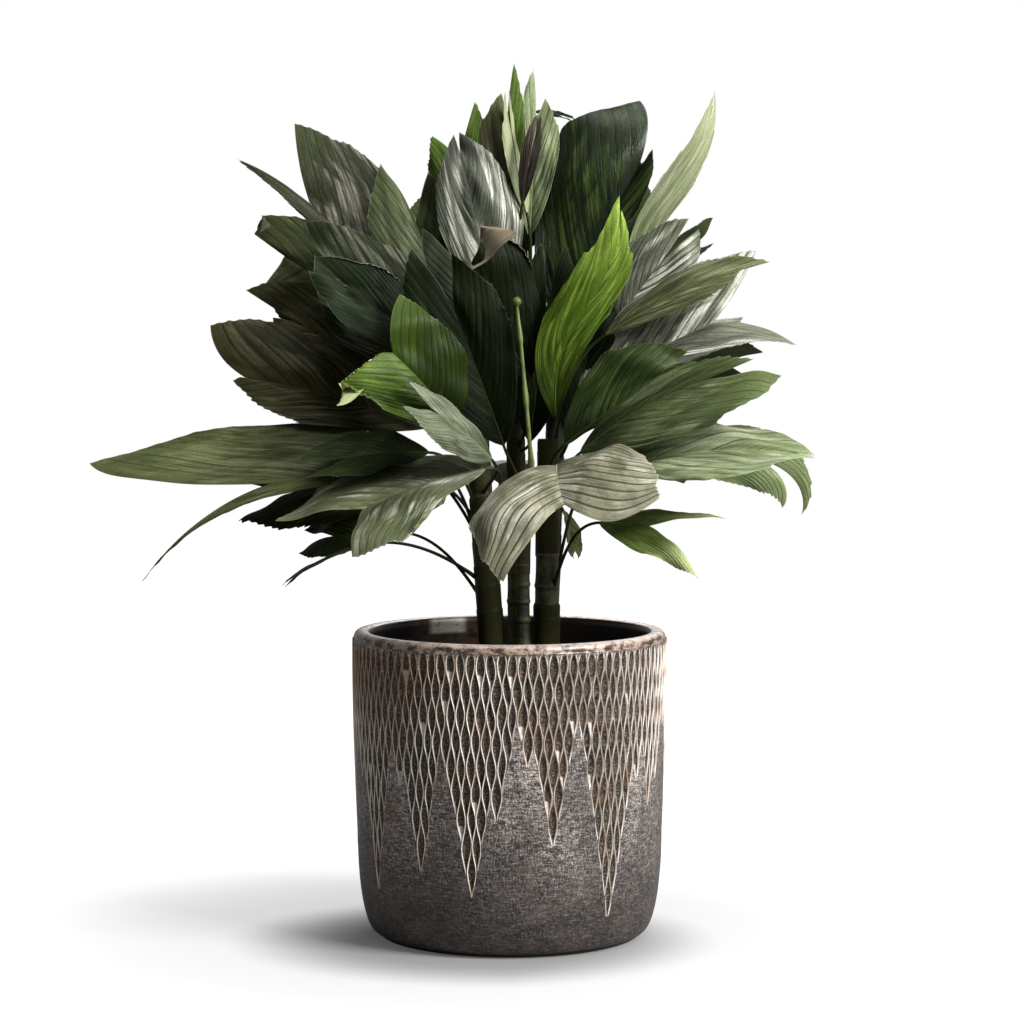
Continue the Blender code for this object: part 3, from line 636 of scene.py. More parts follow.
def caneSurface(tone, seed):
    dark, light, scar = caneTones[tone]

    def surface(w):
        fibres = w.grit(700.0 + seed, 4.0, 0.6, (1.0, 1.0, 0.06))
        blotches = w.grit(75.0 + seed, 4.0, 0.65)
        colour = blotches.step(0.40, 0.62).over(dark, light)
        colour = (fibres.step(0.5, 0.7) * 0.5).over(colour, light)
        colour = (w.layer("ringed").step(0.25, 0.8) * 0.85).over(colour, scar)
        colour = (w.layer("grooved").step(0.4, 0.9) * 0.6).over(colour, dark)
        return colour, 0.36 + 0.3 * fibres, 0.0, fibres * 0.7 + blotches * 0.3
    return surface


for order, (name, cane) in enumerate(canes.items()):
    skin = coated(name + "_bark", caneSurface(cane["tone"], order * 3.0), 0.3 * mm)
    piece(name + "_ringed", [canePart(cane)], skin, name)


def curveThrough(points, count):
    # Catmull-Rom through the points
    points = np.asarray(points, float)
    points = np.vstack([2 * points[0] - points[1], points, 2 * points[-1] - points[-2]])
    spans = np.linspace(0, len(points) - 3, count)
    index = np.minimum(spans.astype(int), len(points) - 4)
    t = (spans - index)[:, None]
    a, b, c, d = (points[index + step] for step in range(4))
    square, cube = 2 * a - 5 * b + 4 * c - d, 3 * b - a - 3 * c + d
    return 0.5 * (2 * b + (c - a) * t + square * t ** 2 + cube * t ** 3)


spike = dict(
    path=((10, -28, 300), (15, -44, 322), (13, -58, 355), (9, -60, 400), (5, -60, 440)),
    radius=(1.8, 1.15),     # at the foot and under the knob
    bracts=(0.34, 0.62, 0.86), bractLift=0.7,
    knobHeights=(0.6, 1.6, 2.8, 4.0, 5.2, 6.1, 6.6),
    knob=3.2, knobShares=(0.55, 0.85, 1.0, 1.0, 0.8, 0.45, 0.12),
    rows=90,
)


def spikePart():
    low, high = spike["radius"]
    share = np.linspace(0, 1, spike["rows"])
    radii = low + (high - low) * share
    for bract in spike["bracts"]:
        ahead, behind = smooth(share, bract - 0.03, bract), smooth(share, bract + 0.10, bract)
        radii = radii + spike["bractLift"] * ahead * behind
    radii = np.concatenate([radii, spike["knob"] * np.array(spike["knobShares"])])
    knob = [(0, 0, lift) for lift in spike["knobHeights"]] + np.array(spike["path"][-1])
    path = np.vstack([curveThrough(spike["path"], spike["rows"]), knob])
    ripe = np.concatenate([0 * share, np.ones(len(knob))])
    return tube(path * mm, radii * mm, 14, {"ripe": ripe})


def spikeSurface(w):
    fibres = w.grit(800.0, stretch=(1.0, 1.0, 0.08))
    warts = w.grit(1400.0, 2.0)
    stalk = fibres.step(0.35, 0.65).over((0.070, 0.100, 0.022), (0.17, 0.21, 0.055))
    knob = warts.step(0.35, 0.6).over((0.030, 0.055, 0.010), (0.10, 0.15, 0.030))
    return w.layer("ripe").step(0.3, 0.7).over(stalk, knob), 0.5, 0.0, fibres * 0.5 + warts * 0.5


piece("flower_spike_stalk", [spikePart()], coated("spike_skin", spikeSurface, 0.2 * mm),
      "flower_spike")


print("leaves")
# Pairs are (left, right) halves, seen from the leaf's foot with its upper side up. Stations are
# shares of the blade's length. Lengths are mm and turns are degrees.
leafDefaults = dict(
    roll=0, width=(50, 50), shoulder=(0.5, 0.5), split=0.68, tip=(35, 35), length=(1.0, 1.0),
    fold=(20, 20), arch=(30, 30), drop=(0, 0), bend=30, late=1.2, twist=0,
    nerves=13,          # pleats on each half
    sweep=1.8,          # above 1 the nerves run more with the midrib
    pleat=0.30,         # how high a pleat stands
    teeth=1.0,          # how far the nerves' ends stand out of the margin
    waves=2.2,          # how far the margin swings up and down
    swell=2.8,          # broad hollows and humps of the blade
    belly=1.1,          # above 1 the outer margin bulges
    lobe=(0.5, 0.5),    # above 0.5 a lobe's end grows round, then square
    hem=(0, 0),         # width of a rolled margin
    hemTurn=(150, 150),
    flap=(0, 0),        # length of a tip folded back over the blade
    flapTurn=(150, 35),     # how far it folds over, and how far the crease slants
    uneven=0.025,       # the margin's slow ins and outs
    curve=(0, 0),       # how far the midrib bows sideways, once and as an S
    tint=(0, 0),        # share of a second colour over each half: by default darker, a painted shade on a half turned from the light; the crown's purple leaf has a colour of its own
    own={},             # changes to the finish of this leaf
    rows=5, columns=24,     # faces to a pleat, and from midrib to margin
    extra=False,        # True for a leaf with no solid of its own
)
back = dict(rows=4, columns=16)     # coarser, for leaves at the back and deep inside


def grown(cane, height, base, reach, look, **changes):
    # the cane that bears the leaf and how high, the blade's two ends on the midrib, and its finish
    return {**leafDefaults, **dict(cane=cane, height=height, base=base, reach=reach, look=look), **changes}


leaves = {
    # Front, lowest first
    "leaf_front_silver": grown("cane_front", 278, (32, -58, 332), (44, -150, 288), "silver", roll=28,
        width=(60, 66), tip=(60, 60), fold=(10, 30), arch=(20, 60), drop=(0, 10), bend=45, teeth=1.3,
        lobe=(1.4, 0.5), tint=(0.2, 0.05), own=dict(tint=(0.17, 0.165, 0.095))),
    "leaf_front_left_pale": grown("cane_left", 275, (-16, -66, 330), (-133, -102, 282), "sageSilver",
        roll=-15, width=(62, 54), tip=(64, 46), length=(0.91, 1.05), teeth=1.6, belly=1.45,
        own=dict(main=(0.115, 0.140, 0.055), sheen=(0.58, 0.60, 0.45))),
    "leaf_small_grey": grown("cane_left", 305, (-12, -62, 336), (-70, -98, 380), "greySage", roll=-60,
        width=(26, 14), tip=(10, 10)),
    "leaf_bright_young": grown("cane_left", 335, (-38, -64, 362), (-95, -80, 423), "young", roll=-70,
        width=(34, 36), shoulder=(0.5, 0.35), split=0.75, tip=(54, 36), length=(1.20, 1.0), fold=(10, 30),
        teeth=0.7, lobe=(0.5, 0.85), hem=(3.5, 0), flap=(21, 0), flapTurn=(135, -46), tint=(0, 0.7)),
    "leaf_right_ribbed": grown("cane_right", 290, (62, -66, 328), (205, -85, 340), "ribbedPale", roll=30,
        width=(30, 42), split=0.9, tip=(1, 1), nerves=6, sweep=3.0, pleat=0.5),
    "leaf_right_green": grown("cane_right", 302, (48, -52, 340), (180, -65, 400), "green", roll=50,
        width=(14, 42), tip=(6, 12), length=(0.9, 1.0), fold=(60, 20), bend=55, nerves=9),
    "leaf_right_folded": grown("cane_right", 318, (38, -40, 345), (124, -36, 405), "deepGreen", roll=68,
        width=(35, 14), tip=(4, 4), fold=(15, 60)),
    "leaf_low_right": grown("cane_right", 230, (62, -45, 292), (138, -75, 281), "lime", roll=45,
        width=(14, 26), split=0.45, tip=(28, 34), teeth=1.5),
    # Left
    "leaf_left_long": grown("cane_left", 258, (-60, -20, 332), (-270, -44, 298), "sage", roll=-45,
        width=(12, 53), split=0.5, tip=(40, 45), length=(1.0, 1.05), drop=(22, 0), curve=(-9, 0), nerves=9,
        lobe=(0.5, 0.9), uneven=0.015),
    "leaf_left_brown": grown("cane_back_left", 318, (-60, 5, 355), (-202, -5, 393), "dusky", roll=-60,
        width=(27, 50), split=0.88, tip=(4, 32), length=(0.93, 1.08), teeth=1.6, lobe=(0.6, 0.85)),
    "leaf_left_dark": grown("cane_back_left", 335, (-62, 20, 378), (-188, 22, 446), "dusky", roll=-70,
        width=(36, 36), tip=(3, 6), length=(0.82, 1.0)),
    "leaf_left_upper_dark": grown("cane_back_left", 350, (-60, 37, 400), (-178, 48, 487), "duskyGreen",
        roll=-68, width=(42, 42), split=0.85, tip=(24, 4), length=(0.84, 1.16), fold=(5, 20),
        lobe=(0.8, 0.6), flap=(0, 17), flapTurn=(140, 0), own=dict(under=(0.50, 0.47, 0.36))),
    "leaf_left_upright": grown("cane_back_left", 368, (-58, 60, 425), (-186, 76, 551), "duskySilver",
        roll=-65, width=(12, 52), tip=(12, 38), length=(1.0, 0.96), fold=(35, 20), tint=(0.9, 0),
        own=dict(tint=(0.034, 0.038, 0.018))),
    "leaf_left_streaked": grown("cane_back_left", 343, (-42, 0, 390), (-140, -2, 481), "streaked", roll=-70,
        width=(38, 40), split=0.88, tip=(4, 11), length=(0.94, 1.10), lobe=(0.7, 0.7)),
    "leaf_left_white_edge": grown("cane_left", 345, (-46, -25, 400), (-136, -28, 468), "whiteEdge",
        roll=-65, width=(26, 26), tip=(4, 6), teeth=0.3, hem=(0, 3), hemTurn=(150, 210)),
    "leaf_left_green_under": grown("cane_left", 290, (-55, -42, 340), (-140, -58, 328), "deepGreen",
        roll=-35, width=(22, 24), tip=(8, 8)),
    "leaf_left_toothed_low": grown("cane_back_left", 275, (-60, 15, 318), (-188, 10, 300), "dusky",
        roll=-45, width=(36, 36), tip=(20, 20), teeth=2.5),
    "leaf_left_low_small": grown("cane_left", 228, (-75, 0, 282), (-145, 12, 272), "deepGreen", roll=-30,
        width=(28, 28), tip=(15, 15), own=dict(slot="leaf_dark")),
    "leaf_left_thread": grown("cane_left", 245, (-98, -35, 276), (-154, -45, 248), "sage", width=(8, 8),
        tip=(5, 5), nerves=4),
    # Centre and crown
    "leaf_centre_great": grown("cane_front", 310, (-4, -46, 345), (-54, -42, 480), "nearBlack", roll=-80,
        width=(40, 32), tip=(12, 12), length=(1.03, 0.93)),
    "leaf_centre_curled": grown("cane_back", 330, (14, -14, 390), (-54, -20, 497), "curled", roll=-80,
        width=(30, 40), tip=(8, 17), teeth=0, hem=(0, 5), hemTurn=(150, 200), flap=(0, 27),
        flapTurn=(150, 30)),
    "leaf_bright_upright": grown("cane_right", 338, (32, -22, 362), (76, -20, 516), "upright", roll=80,
        width=(22, 16), shoulder=(0.4, 0.5), split=0.9, tip=(0.5, 1), length=(1.0, 0.94), fold=(20, 5),
        curve=(0, -8), nerves=9, sweep=2.4, waves=5.0, swell=4.5, uneven=0.07),
    "leaf_mid_left_sheen": grown("cane_back", 345, (-35, 18, 410), (-82, 22, 540), "duskyOlive", roll=-75,
        width=(36, 40), tip=(8, 20), length=(1.02, 0.88)),
    "leaf_top_left_silver": grown("cane_back", 358, (-10, 8, 430), (-38, 12, 560), "mauve", roll=-75,
        width=(25, 34), split=0.9, tip=(1, 3), fold=(5, 8), nerves=9, sweep=3.0),
    "leaf_top_bright": grown("cane_back", 372, (-20, 42, 450), (-40, 50, 582), "springGreen", roll=-70,
        width=(24, 24), tip=(18, 16), length=(0.85, 1.0)),
    "leaf_crown_left": grown("cane_back", 384, (-4, 24, 490), (-1, 26, 608), "springGreen", roll=55,
        width=(19, 13), tip=(4, 4), length=(0.84, 1.02), nerves=7, teeth=0.6, tint=(0.85, 0),
        own=dict(tint=(0.060, 0.042, 0.034), slot="leaf_dark")),
    "leaf_crown_right": grown("cane_back_right", 383, (14, 34, 490), (22, 38, 607), "ribbedPale", roll=60,
        width=(14, 17), tip=(5, 5), length=(1.0, 0.82), nerves=7, teeth=0.6,
        own=dict(slot="leaf_dark")),
    "leaf_top_glossy": grown("cane_back_right", 365, (34, 58, 430), (108, 62, 567), "glossyBlack", roll=80,
        width=(56, 18), split=0.8, tip=(24, 8), length=(1.08, 0.88), fold=(10, 60), teeth=0.4, waves=3.0,
        belly=1.5, lobe=(0.9, 0.7), uneven=0.03),
    "leaf_top_right_pale": grown("cane_back_right", 374, (86, 68, 450), (147, 70, 594), "chalk", roll=70,
        width=(12, 11), split=0.9, tip=(1, 1), twist=75, curve=(2, -6), nerves=7, sweep=2.8, waves=3.5,
        uneven=0.06),
    # Right
    "leaf_right_upper_sheen": grown("cane_back_right", 350, (65, 32, 415), (130, 34, 498), "banded",
        roll=75, width=(28, 28), tip=(5, 5), fold=(15, 0),
        own=dict(silverAndSheen=0.75, main=(0.10, 0.11, 0.07))),
    "leaf_right_yellow_green": grown("cane_right", 345, (66, -8, 420), (172, -16, 468), "olive", roll=55,
        width=(16, 14), split=0.85, tip=(2, 3), length=(1.08, 0.86), nerves=9, sweep=2.6, teeth=1.4,
        waves=4.5),
    "leaf_right_silver": grown("cane_back_right", 330, (48, 10, 380), (188, 6, 447), "banded", roll=70,
        width=(46, 22), tip=(37, 36), fold=(10, 40), drop=(0, 22), own=dict(under=(0.045, 0.080, 0.025))),
    "leaf_right_hanging": grown("cane_right", 222, (80, 10, 335), (197, -5, 300), "ribbedPale", roll=20,
        width=(22, 22), tip=(8, 8), bend=120, late=4, twist=75,
        own=dict(main=(0.13, 0.165, 0.065), sheen=(0.40, 0.43, 0.24), slot="leaf_green")),
    "leaf_low_back": grown("cane_back_right", 252, (38, 24, 296), (46, 20, 262), "green", width=(12, 12),
        tip=(4, 4), nerves=5, **back),
    # Back
    "leaf_back_low_right": grown("cane_back_right", 298, (70, 55, 342), (190, 95, 330), "deepGreen",
        **back),
    "leaf_back_low_mid_right": grown("cane_back_right", 276, (50, 80, 320), (100, 200, 300), "green",
        **back),
    "leaf_back_low_mid_left": grown("cane_back_left", 290, (-20, 82, 320), (-40, 215, 300), "deepGreen",
        **back),
    "leaf_back_low_left": grown("cane_back_left", 262, (-65, 65, 322), (-165, 140, 310), "green", **back),
    "leaf_back_right": grown("cane_back_right", 315, (62, 72, 380), (150, 145, 430), "green", **back),
    "leaf_back_mid": grown("cane_back_right", 342, (25, 85, 395), (45, 200, 440), "deepGreen", **back),
    "leaf_back_left": grown("cane_back_left", 305, (-50, 78, 385), (-120, 160, 435), "green", **back),
    "leaf_back_high_right": grown("cane_back_right", 355, (50, 92, 440), (78, 150, 548), "deepGreen",
        width=(42, 42), tip=(20, 20), **back),
    "leaf_back_high_left": grown("cane_back_left", 358, (-32, 88, 430), (-45, 145, 520), "green",
        width=(40, 40), tip=(20, 20), **back),
    "leaf_back_top": grown("cane_back_right", 378, (12, 78, 480), (2, 118, 575), "deepGreen",
        width=(30, 32), tip=(14, 14), **back),
    "leaf_back_centre": grown("cane_back_left", 325, (-18, 95, 365), (-28, 195, 372), "green", bend=50,
        **back),
    "leaf_back_side_right": grown("cane_back_right", 332, (82, 52, 385), (178, 78, 395), "green", roll=-30,
        width=(40, 40), tip=(20, 20), bend=45, **back),
    "leaf_back_side_left": grown("cane_back_left", 328, (-82, 62, 372), (-178, 88, 375), "deepGreen",
        roll=30, width=(38, 38), tip=(20, 20), bend=45, **back),
    "leaf_back_upper_left": grown("cane_back_left", 345, (-62, 90, 440), (-128, 128, 500), "green", roll=35,
        width=(36, 36), tip=(16, 16), **back),
    "leaf_back_upper_right": grown("cane_back_right", 360, (88, 78, 430), (152, 112, 492), "deepGreen",
        roll=-40, width=(34, 34), tip=(16, 16), **back),
    # Deep inside, and small young ones in the crown: these have no solids of their own
    "leaf_inner_dark": grown("cane_back", 335, (14, 6, 345), (31, 10, 484), "nearBlack", roll=78,
        width=(24, 24), tip=(8, 8), extra=True, **back),
    "leaf_inner_low": grown("cane_back_right", 322, (42, 16, 348), (64, 20, 446), "nearBlack", roll=78,
        width=(24, 24), tip=(8, 8), extra=True, **back),
    "leaf_crown_pale": grown("cane_back", 380, (12, 8, 505), (-2, 6, 589), "chalk", roll=95, width=(10, 8),
        split=0.4, tip=(1, 1), twist=45, nerves=5, teeth=0.4, waves=4.0,
        own=dict(main=(0.60, 0.64, 0.37), sheen=(0.85, 0.86, 0.65)), extra=True),
    "leaf_crown_purple": grown("cane_back", 382, (9, 6, 512), (21, 8, 574), "plum", roll=70, width=(7, 6),
        split=0.4, tip=(1, 1), nerves=5, teeth=0.4, extra=True),
    "leaf_crown_small": grown("cane_back", 386, (18, 44, 578), (45, 40, 571), "nearBlack", roll=20,
        width=(7, 7), split=0.4, tip=(2, 2), nerves=4, teeth=0.3, extra=True),
}

# Finishes of the blade: main colour, sheen colour and colour at the tips. silverAndSheen, tipped,
# rooted and vein are the shares of sheen (partly silvering, partly painted sheen), tip colour,
# dark foot with painted shade, and dark creases. The other colours of a leaf (deep, tint, under,
# rib and margin) follow from its main one unless they are given.
looks = {
    # nearly black: a dark green leaf with the shade deep in the plant painted into its colour
    "nearBlack": dict(main=(0.006, 0.011, 0.0035), sheen=(0.040, 0.052, 0.024), tips=(0.010, 0.016, 0.005),
        silverAndSheen=0.4, specular=0.04, rough=0.40, vein=0.5),
    "curled": dict(main=(0.009, 0.014, 0.005), sheen=(0.035, 0.045, 0.022), tips=(0.016, 0.022, 0.008),
        silverAndSheen=0.4, specular=0.06, vein=0.4, under=(0.42, 0.35, 0.24)),
    "glossyBlack": dict(main=(0.004, 0.010, 0.001), sheen=(0.085, 0.130, 0.026), tips=(0.010, 0.020, 0.003),
        silverAndSheen=0.50, rough=0.20, specular=0.30, vein=0.3),
    "dusky": dict(main=(0.036, 0.036, 0.012), sheen=(0.165, 0.155, 0.085), tips=(0.050, 0.050, 0.020),
        deep=(0.006, 0.006, 0.002), vein=0.7),
    "duskyGreen": dict(main=(0.034, 0.044, 0.014), sheen=(0.175, 0.185, 0.100), tips=(0.055, 0.065, 0.022),
        deep=(0.006, 0.008, 0.002), vein=0.7),
    "streaked": dict(main=(0.014, 0.020, 0.007), sheen=(0.22, 0.23, 0.16), tips=(0.03, 0.04, 0.015),
        silverAndSheen=0.6, vein=0.5, slot="leaf_silver"),
    "mauve": dict(main=(0.070, 0.088, 0.055), sheen=(0.60, 0.59, 0.49), tips=(0.05, 0.055, 0.040),
        silverAndSheen=0.95, tipped=0.75, specular=0.2, slot="leaf_silver"),
    "plum": dict(main=(0.040, 0.032, 0.026), sheen=(0.15, 0.12, 0.10), tips=(0.09, 0.08, 0.05)),
    "duskyOlive": dict(main=(0.045, 0.056, 0.023), sheen=(0.17, 0.19, 0.10), tips=(0.08, 0.10, 0.04),
        slot="leaf_silver", vein=0.35),
    "sageSilver": dict(main=(0.16, 0.19, 0.080), sheen=(0.52, 0.53, 0.37), tips=(0.22, 0.25, 0.12),
        silverAndSheen=0.85, specular=0.2, slot="leaf_pale"),
    # its pale underside, seen on the rolled upper edge, is a painted highlight there
    "whiteEdge": dict(main=(0.009, 0.017, 0.005), sheen=(0.050, 0.070, 0.032), tips=(0.02, 0.03, 0.01),
        silverAndSheen=0.4, specular=0.08, vein=0.3, under=(0.55, 0.57, 0.48), slot="leaf_silver"),
    "duskySilver": dict(main=(0.030, 0.036, 0.016), sheen=(0.40, 0.37, 0.31), tips=(0.07, 0.09, 0.03),
        silverAndSheen=0.65, vein=0.5),
    "olive": dict(main=(0.095, 0.115, 0.045), sheen=(0.34, 0.35, 0.21), tips=(0.14, 0.16, 0.07),
        silverAndSheen=0.7, slot="leaf_bright", vein=0.7),
    "silver": dict(main=(0.42, 0.40, 0.27), sheen=(0.90, 0.86, 0.72), tips=(0.42, 0.44, 0.28),
        deep=(0.060, 0.065, 0.030), silverAndSheen=0.9, specular=0.22, slot="leaf_silver", vein=0.95),
    "banded": dict(main=(0.15, 0.16, 0.11), sheen=(0.78, 0.76, 0.67), tips=(0.20, 0.22, 0.13),
        deep=(0.016, 0.022, 0.010), silverAndSheen=1.0, rooted=0.05, specular=0.22, vein=0.8, slot="leaf_silver"),
    "green": dict(main=(0.070, 0.095, 0.034), sheen=(0.22, 0.26, 0.130), tips=(0.14, 0.18, 0.06),
        silverAndSheen=0.6, vein=0.7, slot="leaf_green"),
    "deepGreen": dict(main=(0.025, 0.043, 0.009), sheen=(0.10, 0.135, 0.045), tips=(0.06, 0.085, 0.024),
        slot="leaf_green", vein=0.6),
    "sage": dict(main=(0.100, 0.122, 0.044), sheen=(0.27, 0.29, 0.15), tips=(0.15, 0.18, 0.07),
        slot="leaf_pale", vein=0.6),
    "greySage": dict(main=(0.155, 0.180, 0.108), sheen=(0.31, 0.33, 0.23), tips=(0.20, 0.23, 0.14),
        slot="leaf_pale"),
    "ribbedPale": dict(main=(0.25, 0.295, 0.150), sheen=(0.62, 0.65, 0.45), tips=(0.28, 0.34, 0.16),
        deep=(0.045, 0.070, 0.020), rooted=0.3, slot="leaf_pale", vein=0.95),
    "chalk": dict(main=(0.34, 0.375, 0.210), sheen=(0.66, 0.68, 0.50), tips=(0.46, 0.48, 0.30),
        deep=(0.12, 0.15, 0.060), slot="leaf_pale", vein=0.5),
    "lime": dict(main=(0.24, 0.33, 0.085), sheen=(0.50, 0.60, 0.27), tips=(0.64, 0.68, 0.36),
        deep=(0.10, 0.15, 0.025), tipped=0.9, rooted=0.8, slot="leaf_pale"),
    "young": dict(main=(0.030, 0.058, 0.003), sheen=(0.13, 0.21, 0.022), tips=(0.16, 0.26, 0.028),
        tipped=0.60, specular=0.12, under=(0.62, 0.66, 0.36), slot="leaf_bright"),
    "upright": dict(main=(0.060, 0.108, 0.007), sheen=(0.24, 0.36, 0.050), tips=(0.30, 0.44, 0.065),
        tipped=0.75, rooted=0.85, silverAndSheen=0.8, specular=0.08, under=(0.30, 0.38, 0.13),
        slot="leaf_bright"),
    "springGreen": dict(main=(0.085, 0.145, 0.024), sheen=(0.28, 0.36, 0.12), tips=(0.15, 0.24, 0.045),
        slot="leaf_bright"),
}
lookDefaults = dict(silverAndSheen=0.5, tipped=0.45, rooted=0.55, rough=0.30, specular=0.08, metal=0.10,
                    vein=0.5, slot="leaf_dark")
lookMixes = dict(       # share of the main colour, and what is added to it
    deep=(0.24, (0, 0, 0)), tint=(0.30, (0, 0, 0)), under=(0.65, (0.026, 0.032, 0.016)),
    rib=(0.9, (0.012, 0.018, 0.004)), margin=(1.3, (0.070, 0.075, 0.045)),
)


def lookOf(leaf):
    main = np.array(looks[leaf["look"]]["main"])
    mixed = {part: tuple(main * share + np.array(added)) for part, (share, added) in lookMixes.items()}
    return {**lookDefaults, **mixed, **looks[leaf["look"]], **leaf["own"]}


def midline(leaf, samples=60):
    # the blade's middle: place, forward, side and upper direction at each station
    base, reach = np.array(leaf["base"], float) * mm, np.array(leaf["reach"], float) * mm
    length = np.linalg.norm(reach - base)
    ahead = (reach - base) / length
    upper = unit(np.array([0.0, 0.0, 1.0]) - ahead * ahead[2])
    upper = spun(upper, ahead, np.array(float(leaf["roll"])))
    side = np.cross(ahead, upper)
    share = np.linspace(0, 1, samples + 1)
    angles = -math.radians(leaf["bend"]) * share ** leaf["late"]
    middles = (angles[1:] + angles[:-1]) / 2
    x = np.concatenate([[0], np.cumsum(np.cos(middles))]) / samples
    y = np.concatenate([[0], np.cumsum(np.sin(middles))]) / samples
    lift, scale = -math.atan2(y[-1], x[-1]), length / math.hypot(x[-1], y[-1])
    level = ((x * math.cos(lift) - y * math.sin(lift)) * scale)[:, None]
    raised = ((x * math.sin(lift) + y * math.cos(lift)) * scale)[:, None]
    tilt = (angles + lift)[:, None]
    forward = ahead * np.cos(tilt) + upper * np.sin(tilt)
    over = upper * np.cos(tilt) - ahead * np.sin(tilt)
    spin = leaf["twist"] * share
    bowed = leaf["curve"][0] * np.sin(math.pi * share) + leaf["curve"][1] * np.sin(2 * math.pi * share)
    return [base + ahead * level + upper * raised + side * (bowed * mm)[:, None], forward,
            spun(np.broadcast_to(side, forward.shape), forward, spin), spun(over, forward, spin)]


def atStation(stations, share):
    # reads the midline between its stations, and straight on past its end
    last = len(stations[0]) - 2
    index = np.clip((share * (last + 1)).astype(int), 0, last)
    rest = (share * (last + 1) - index)[..., None]
    read = [line[index] * (1 - rest) + line[index + 1] * rest for line in stations]
    return [read[0]] + [unit(direction) for direction in read[1:]]


def bezier(a, b, c, share):
    return a * (1 - share) ** 2 + b * 2 * share * (1 - share) + c * share ** 2


def flatHalf(leaf, half, along, across):
    # along runs with the midrib and the margin, across runs out along the nerves
    width, shoulder, split = leaf["width"][half], leaf["shoulder"][half], leaf["split"]
    tip, length = leaf["tip"][half], leaf["length"][half]

    def spot(sideways, station):
        return np.array([sideways, station], float).reshape(2, 1, 1)

    root, notch, corner, point = spot(0, 0), spot(0, split), spot(width, shoulder), spot(tip, length)
    rib = root + (notch - root) * along
    margin = bezier(corner, spot(width * leaf["belly"], shoulder + (length - shoulder) * 0.5), point, along)
    first = bezier(root, spot(width * 0.7, shoulder * 0.3), corner, across)
    last = bezier(notch, spot(tip * 0.35, split + (length - split) * leaf["lobe"][half]), point, across)
    corners = rib * (1 - across) + (corner + (point - corner) * along) * across
    return rib * (1 - across) + margin * across + first * (1 - along) + last * along - corners


blade = dict(
    ribHalf=(0.95, 0.35),       # half the midrib's thickness, at the blade's foot and at the notch
    margin=0.26, middle=0.56,   # thickness at the margin and 6 mm in from it
    relief=0.34,                # depth of the fine relief
)


def ribHalf(leaf, station):
    thick, thin = blade["ribHalf"]
    return thick - (thick - thin) * np.clip(station / leaf["split"], 0, 1)


def bladePoints(leaf, stations, half, along, across):
    # the flat half folded up at the midrib, arched, drooped and laid along the midline
    sideways, station = flatHalf(leaf, half, along, across)
    width, split = leaf["width"][half], leaf["split"]
    fold, arch = math.radians(leaf["fold"][half]), math.radians(leaf["arch"][half])
    end = max(leaf["length"][half], split + 0.01)
    past = np.clip((station - split) / (end - split), 0, None)
    bow = arch / width + 1e-9
    out = (np.sin(fold) - np.sin(fold - bow * sideways)) / bow
    rise = (np.cos(fold - bow * sideways) - np.cos(fold)) / bow
    rise -= leaf["drop"][half] * past ** 1.6
    place, _forward, side, over = atStation(stations, station)
    out = out + ribHalf(leaf, station) * 0.6 * smooth(station, split + 0.12, split)
    out = out if half else -out
    return place + side * (out * mm)[..., None] + over * (rise * mm)[..., None], station


def gridNormals(points, sign):      # pointing out of the upper side
    return sign * unit(np.cross(np.gradient(points, axis=1), np.gradient(points, axis=0)))


def slab(points, normals, thickness, flip, values):
    # a thin closed sheet: upper grid, lower grid and rim
    rows, columns = points.shape[:2]
    count = rows * columns
    lift = normals * (thickness / 2)[..., None]
    both = np.concatenate([(points + lift).reshape(-1, 3), (points - lift).reshape(-1, 3)])
    faces = gridFaces(rows, columns, flip) + gridFaces(rows, columns, not flip, start=count)
    index = np.arange(count).reshape(rows, columns)
    loop = np.concatenate([index[0, :-1], index[:-1, -1], index[-1, :0:-1], index[:0:-1, 0]]).tolist()
    for a, b in zip(loop, loop[1:] + loop[:1]):
        face = (b, a, a + count, b + count)
        faces.append(face[::-1] if flip else face)
    full = {layer: np.concatenate([value.ravel(), value.ravel()]) for layer, value in values.items()}
    full["under"] = np.repeat([0.0, 1.0], count)
    return both, faces, full


def rolledHem(leaf, half, points, sign, along, inward):
    # the margin rolls over; inward is each point's way in from it, in mm
    hem, turn = leaf["hem"][half], math.radians(leaf["hemTurn"][half])
    outward, normals = unit(np.gradient(points, axis=1)), gridNormals(points, sign)
    most = hem * np.sin(math.pi * np.clip(along * 1.1, 0, 1)) ** 0.4
    rolled = np.clip(most - inward, 0, hem)
    bent = rolled / hem * turn
    points = points + outward * ((np.sin(bent) * hem / turn - rolled) * mm)[..., None]
    return points + normals * ((1 - np.cos(bent)) * hem / abs(turn) * mm * np.sign(turn))[..., None]


def foldedTip(leaf, half, points, sign):
    # what lies beyond a slanting crease near the tip turns over it
    rows, columns = points.shape[:2]
    end, middle = points[-1, -1], points[rows * 2 // 3, columns // 2]
    ahead, over = unit(end - middle), gridNormals(points, sign)[-columns // 4, columns // 2]
    over = unit(over - ahead * (over @ ahead))
    fold, slant = leaf["flapTurn"]
    ahead = spun(ahead, over, np.array(float(slant)))
    corner = end - ahead * leaf["flap"][half] * mm
    beyond = ((points - corner) @ ahead) / mm
    turned = spun(points - corner, np.cross(over, ahead) * -1, fold * smooth(beyond, -0.8, 1.6)) + corner
    return np.where((beyond > -0.8)[..., None], turned, points)


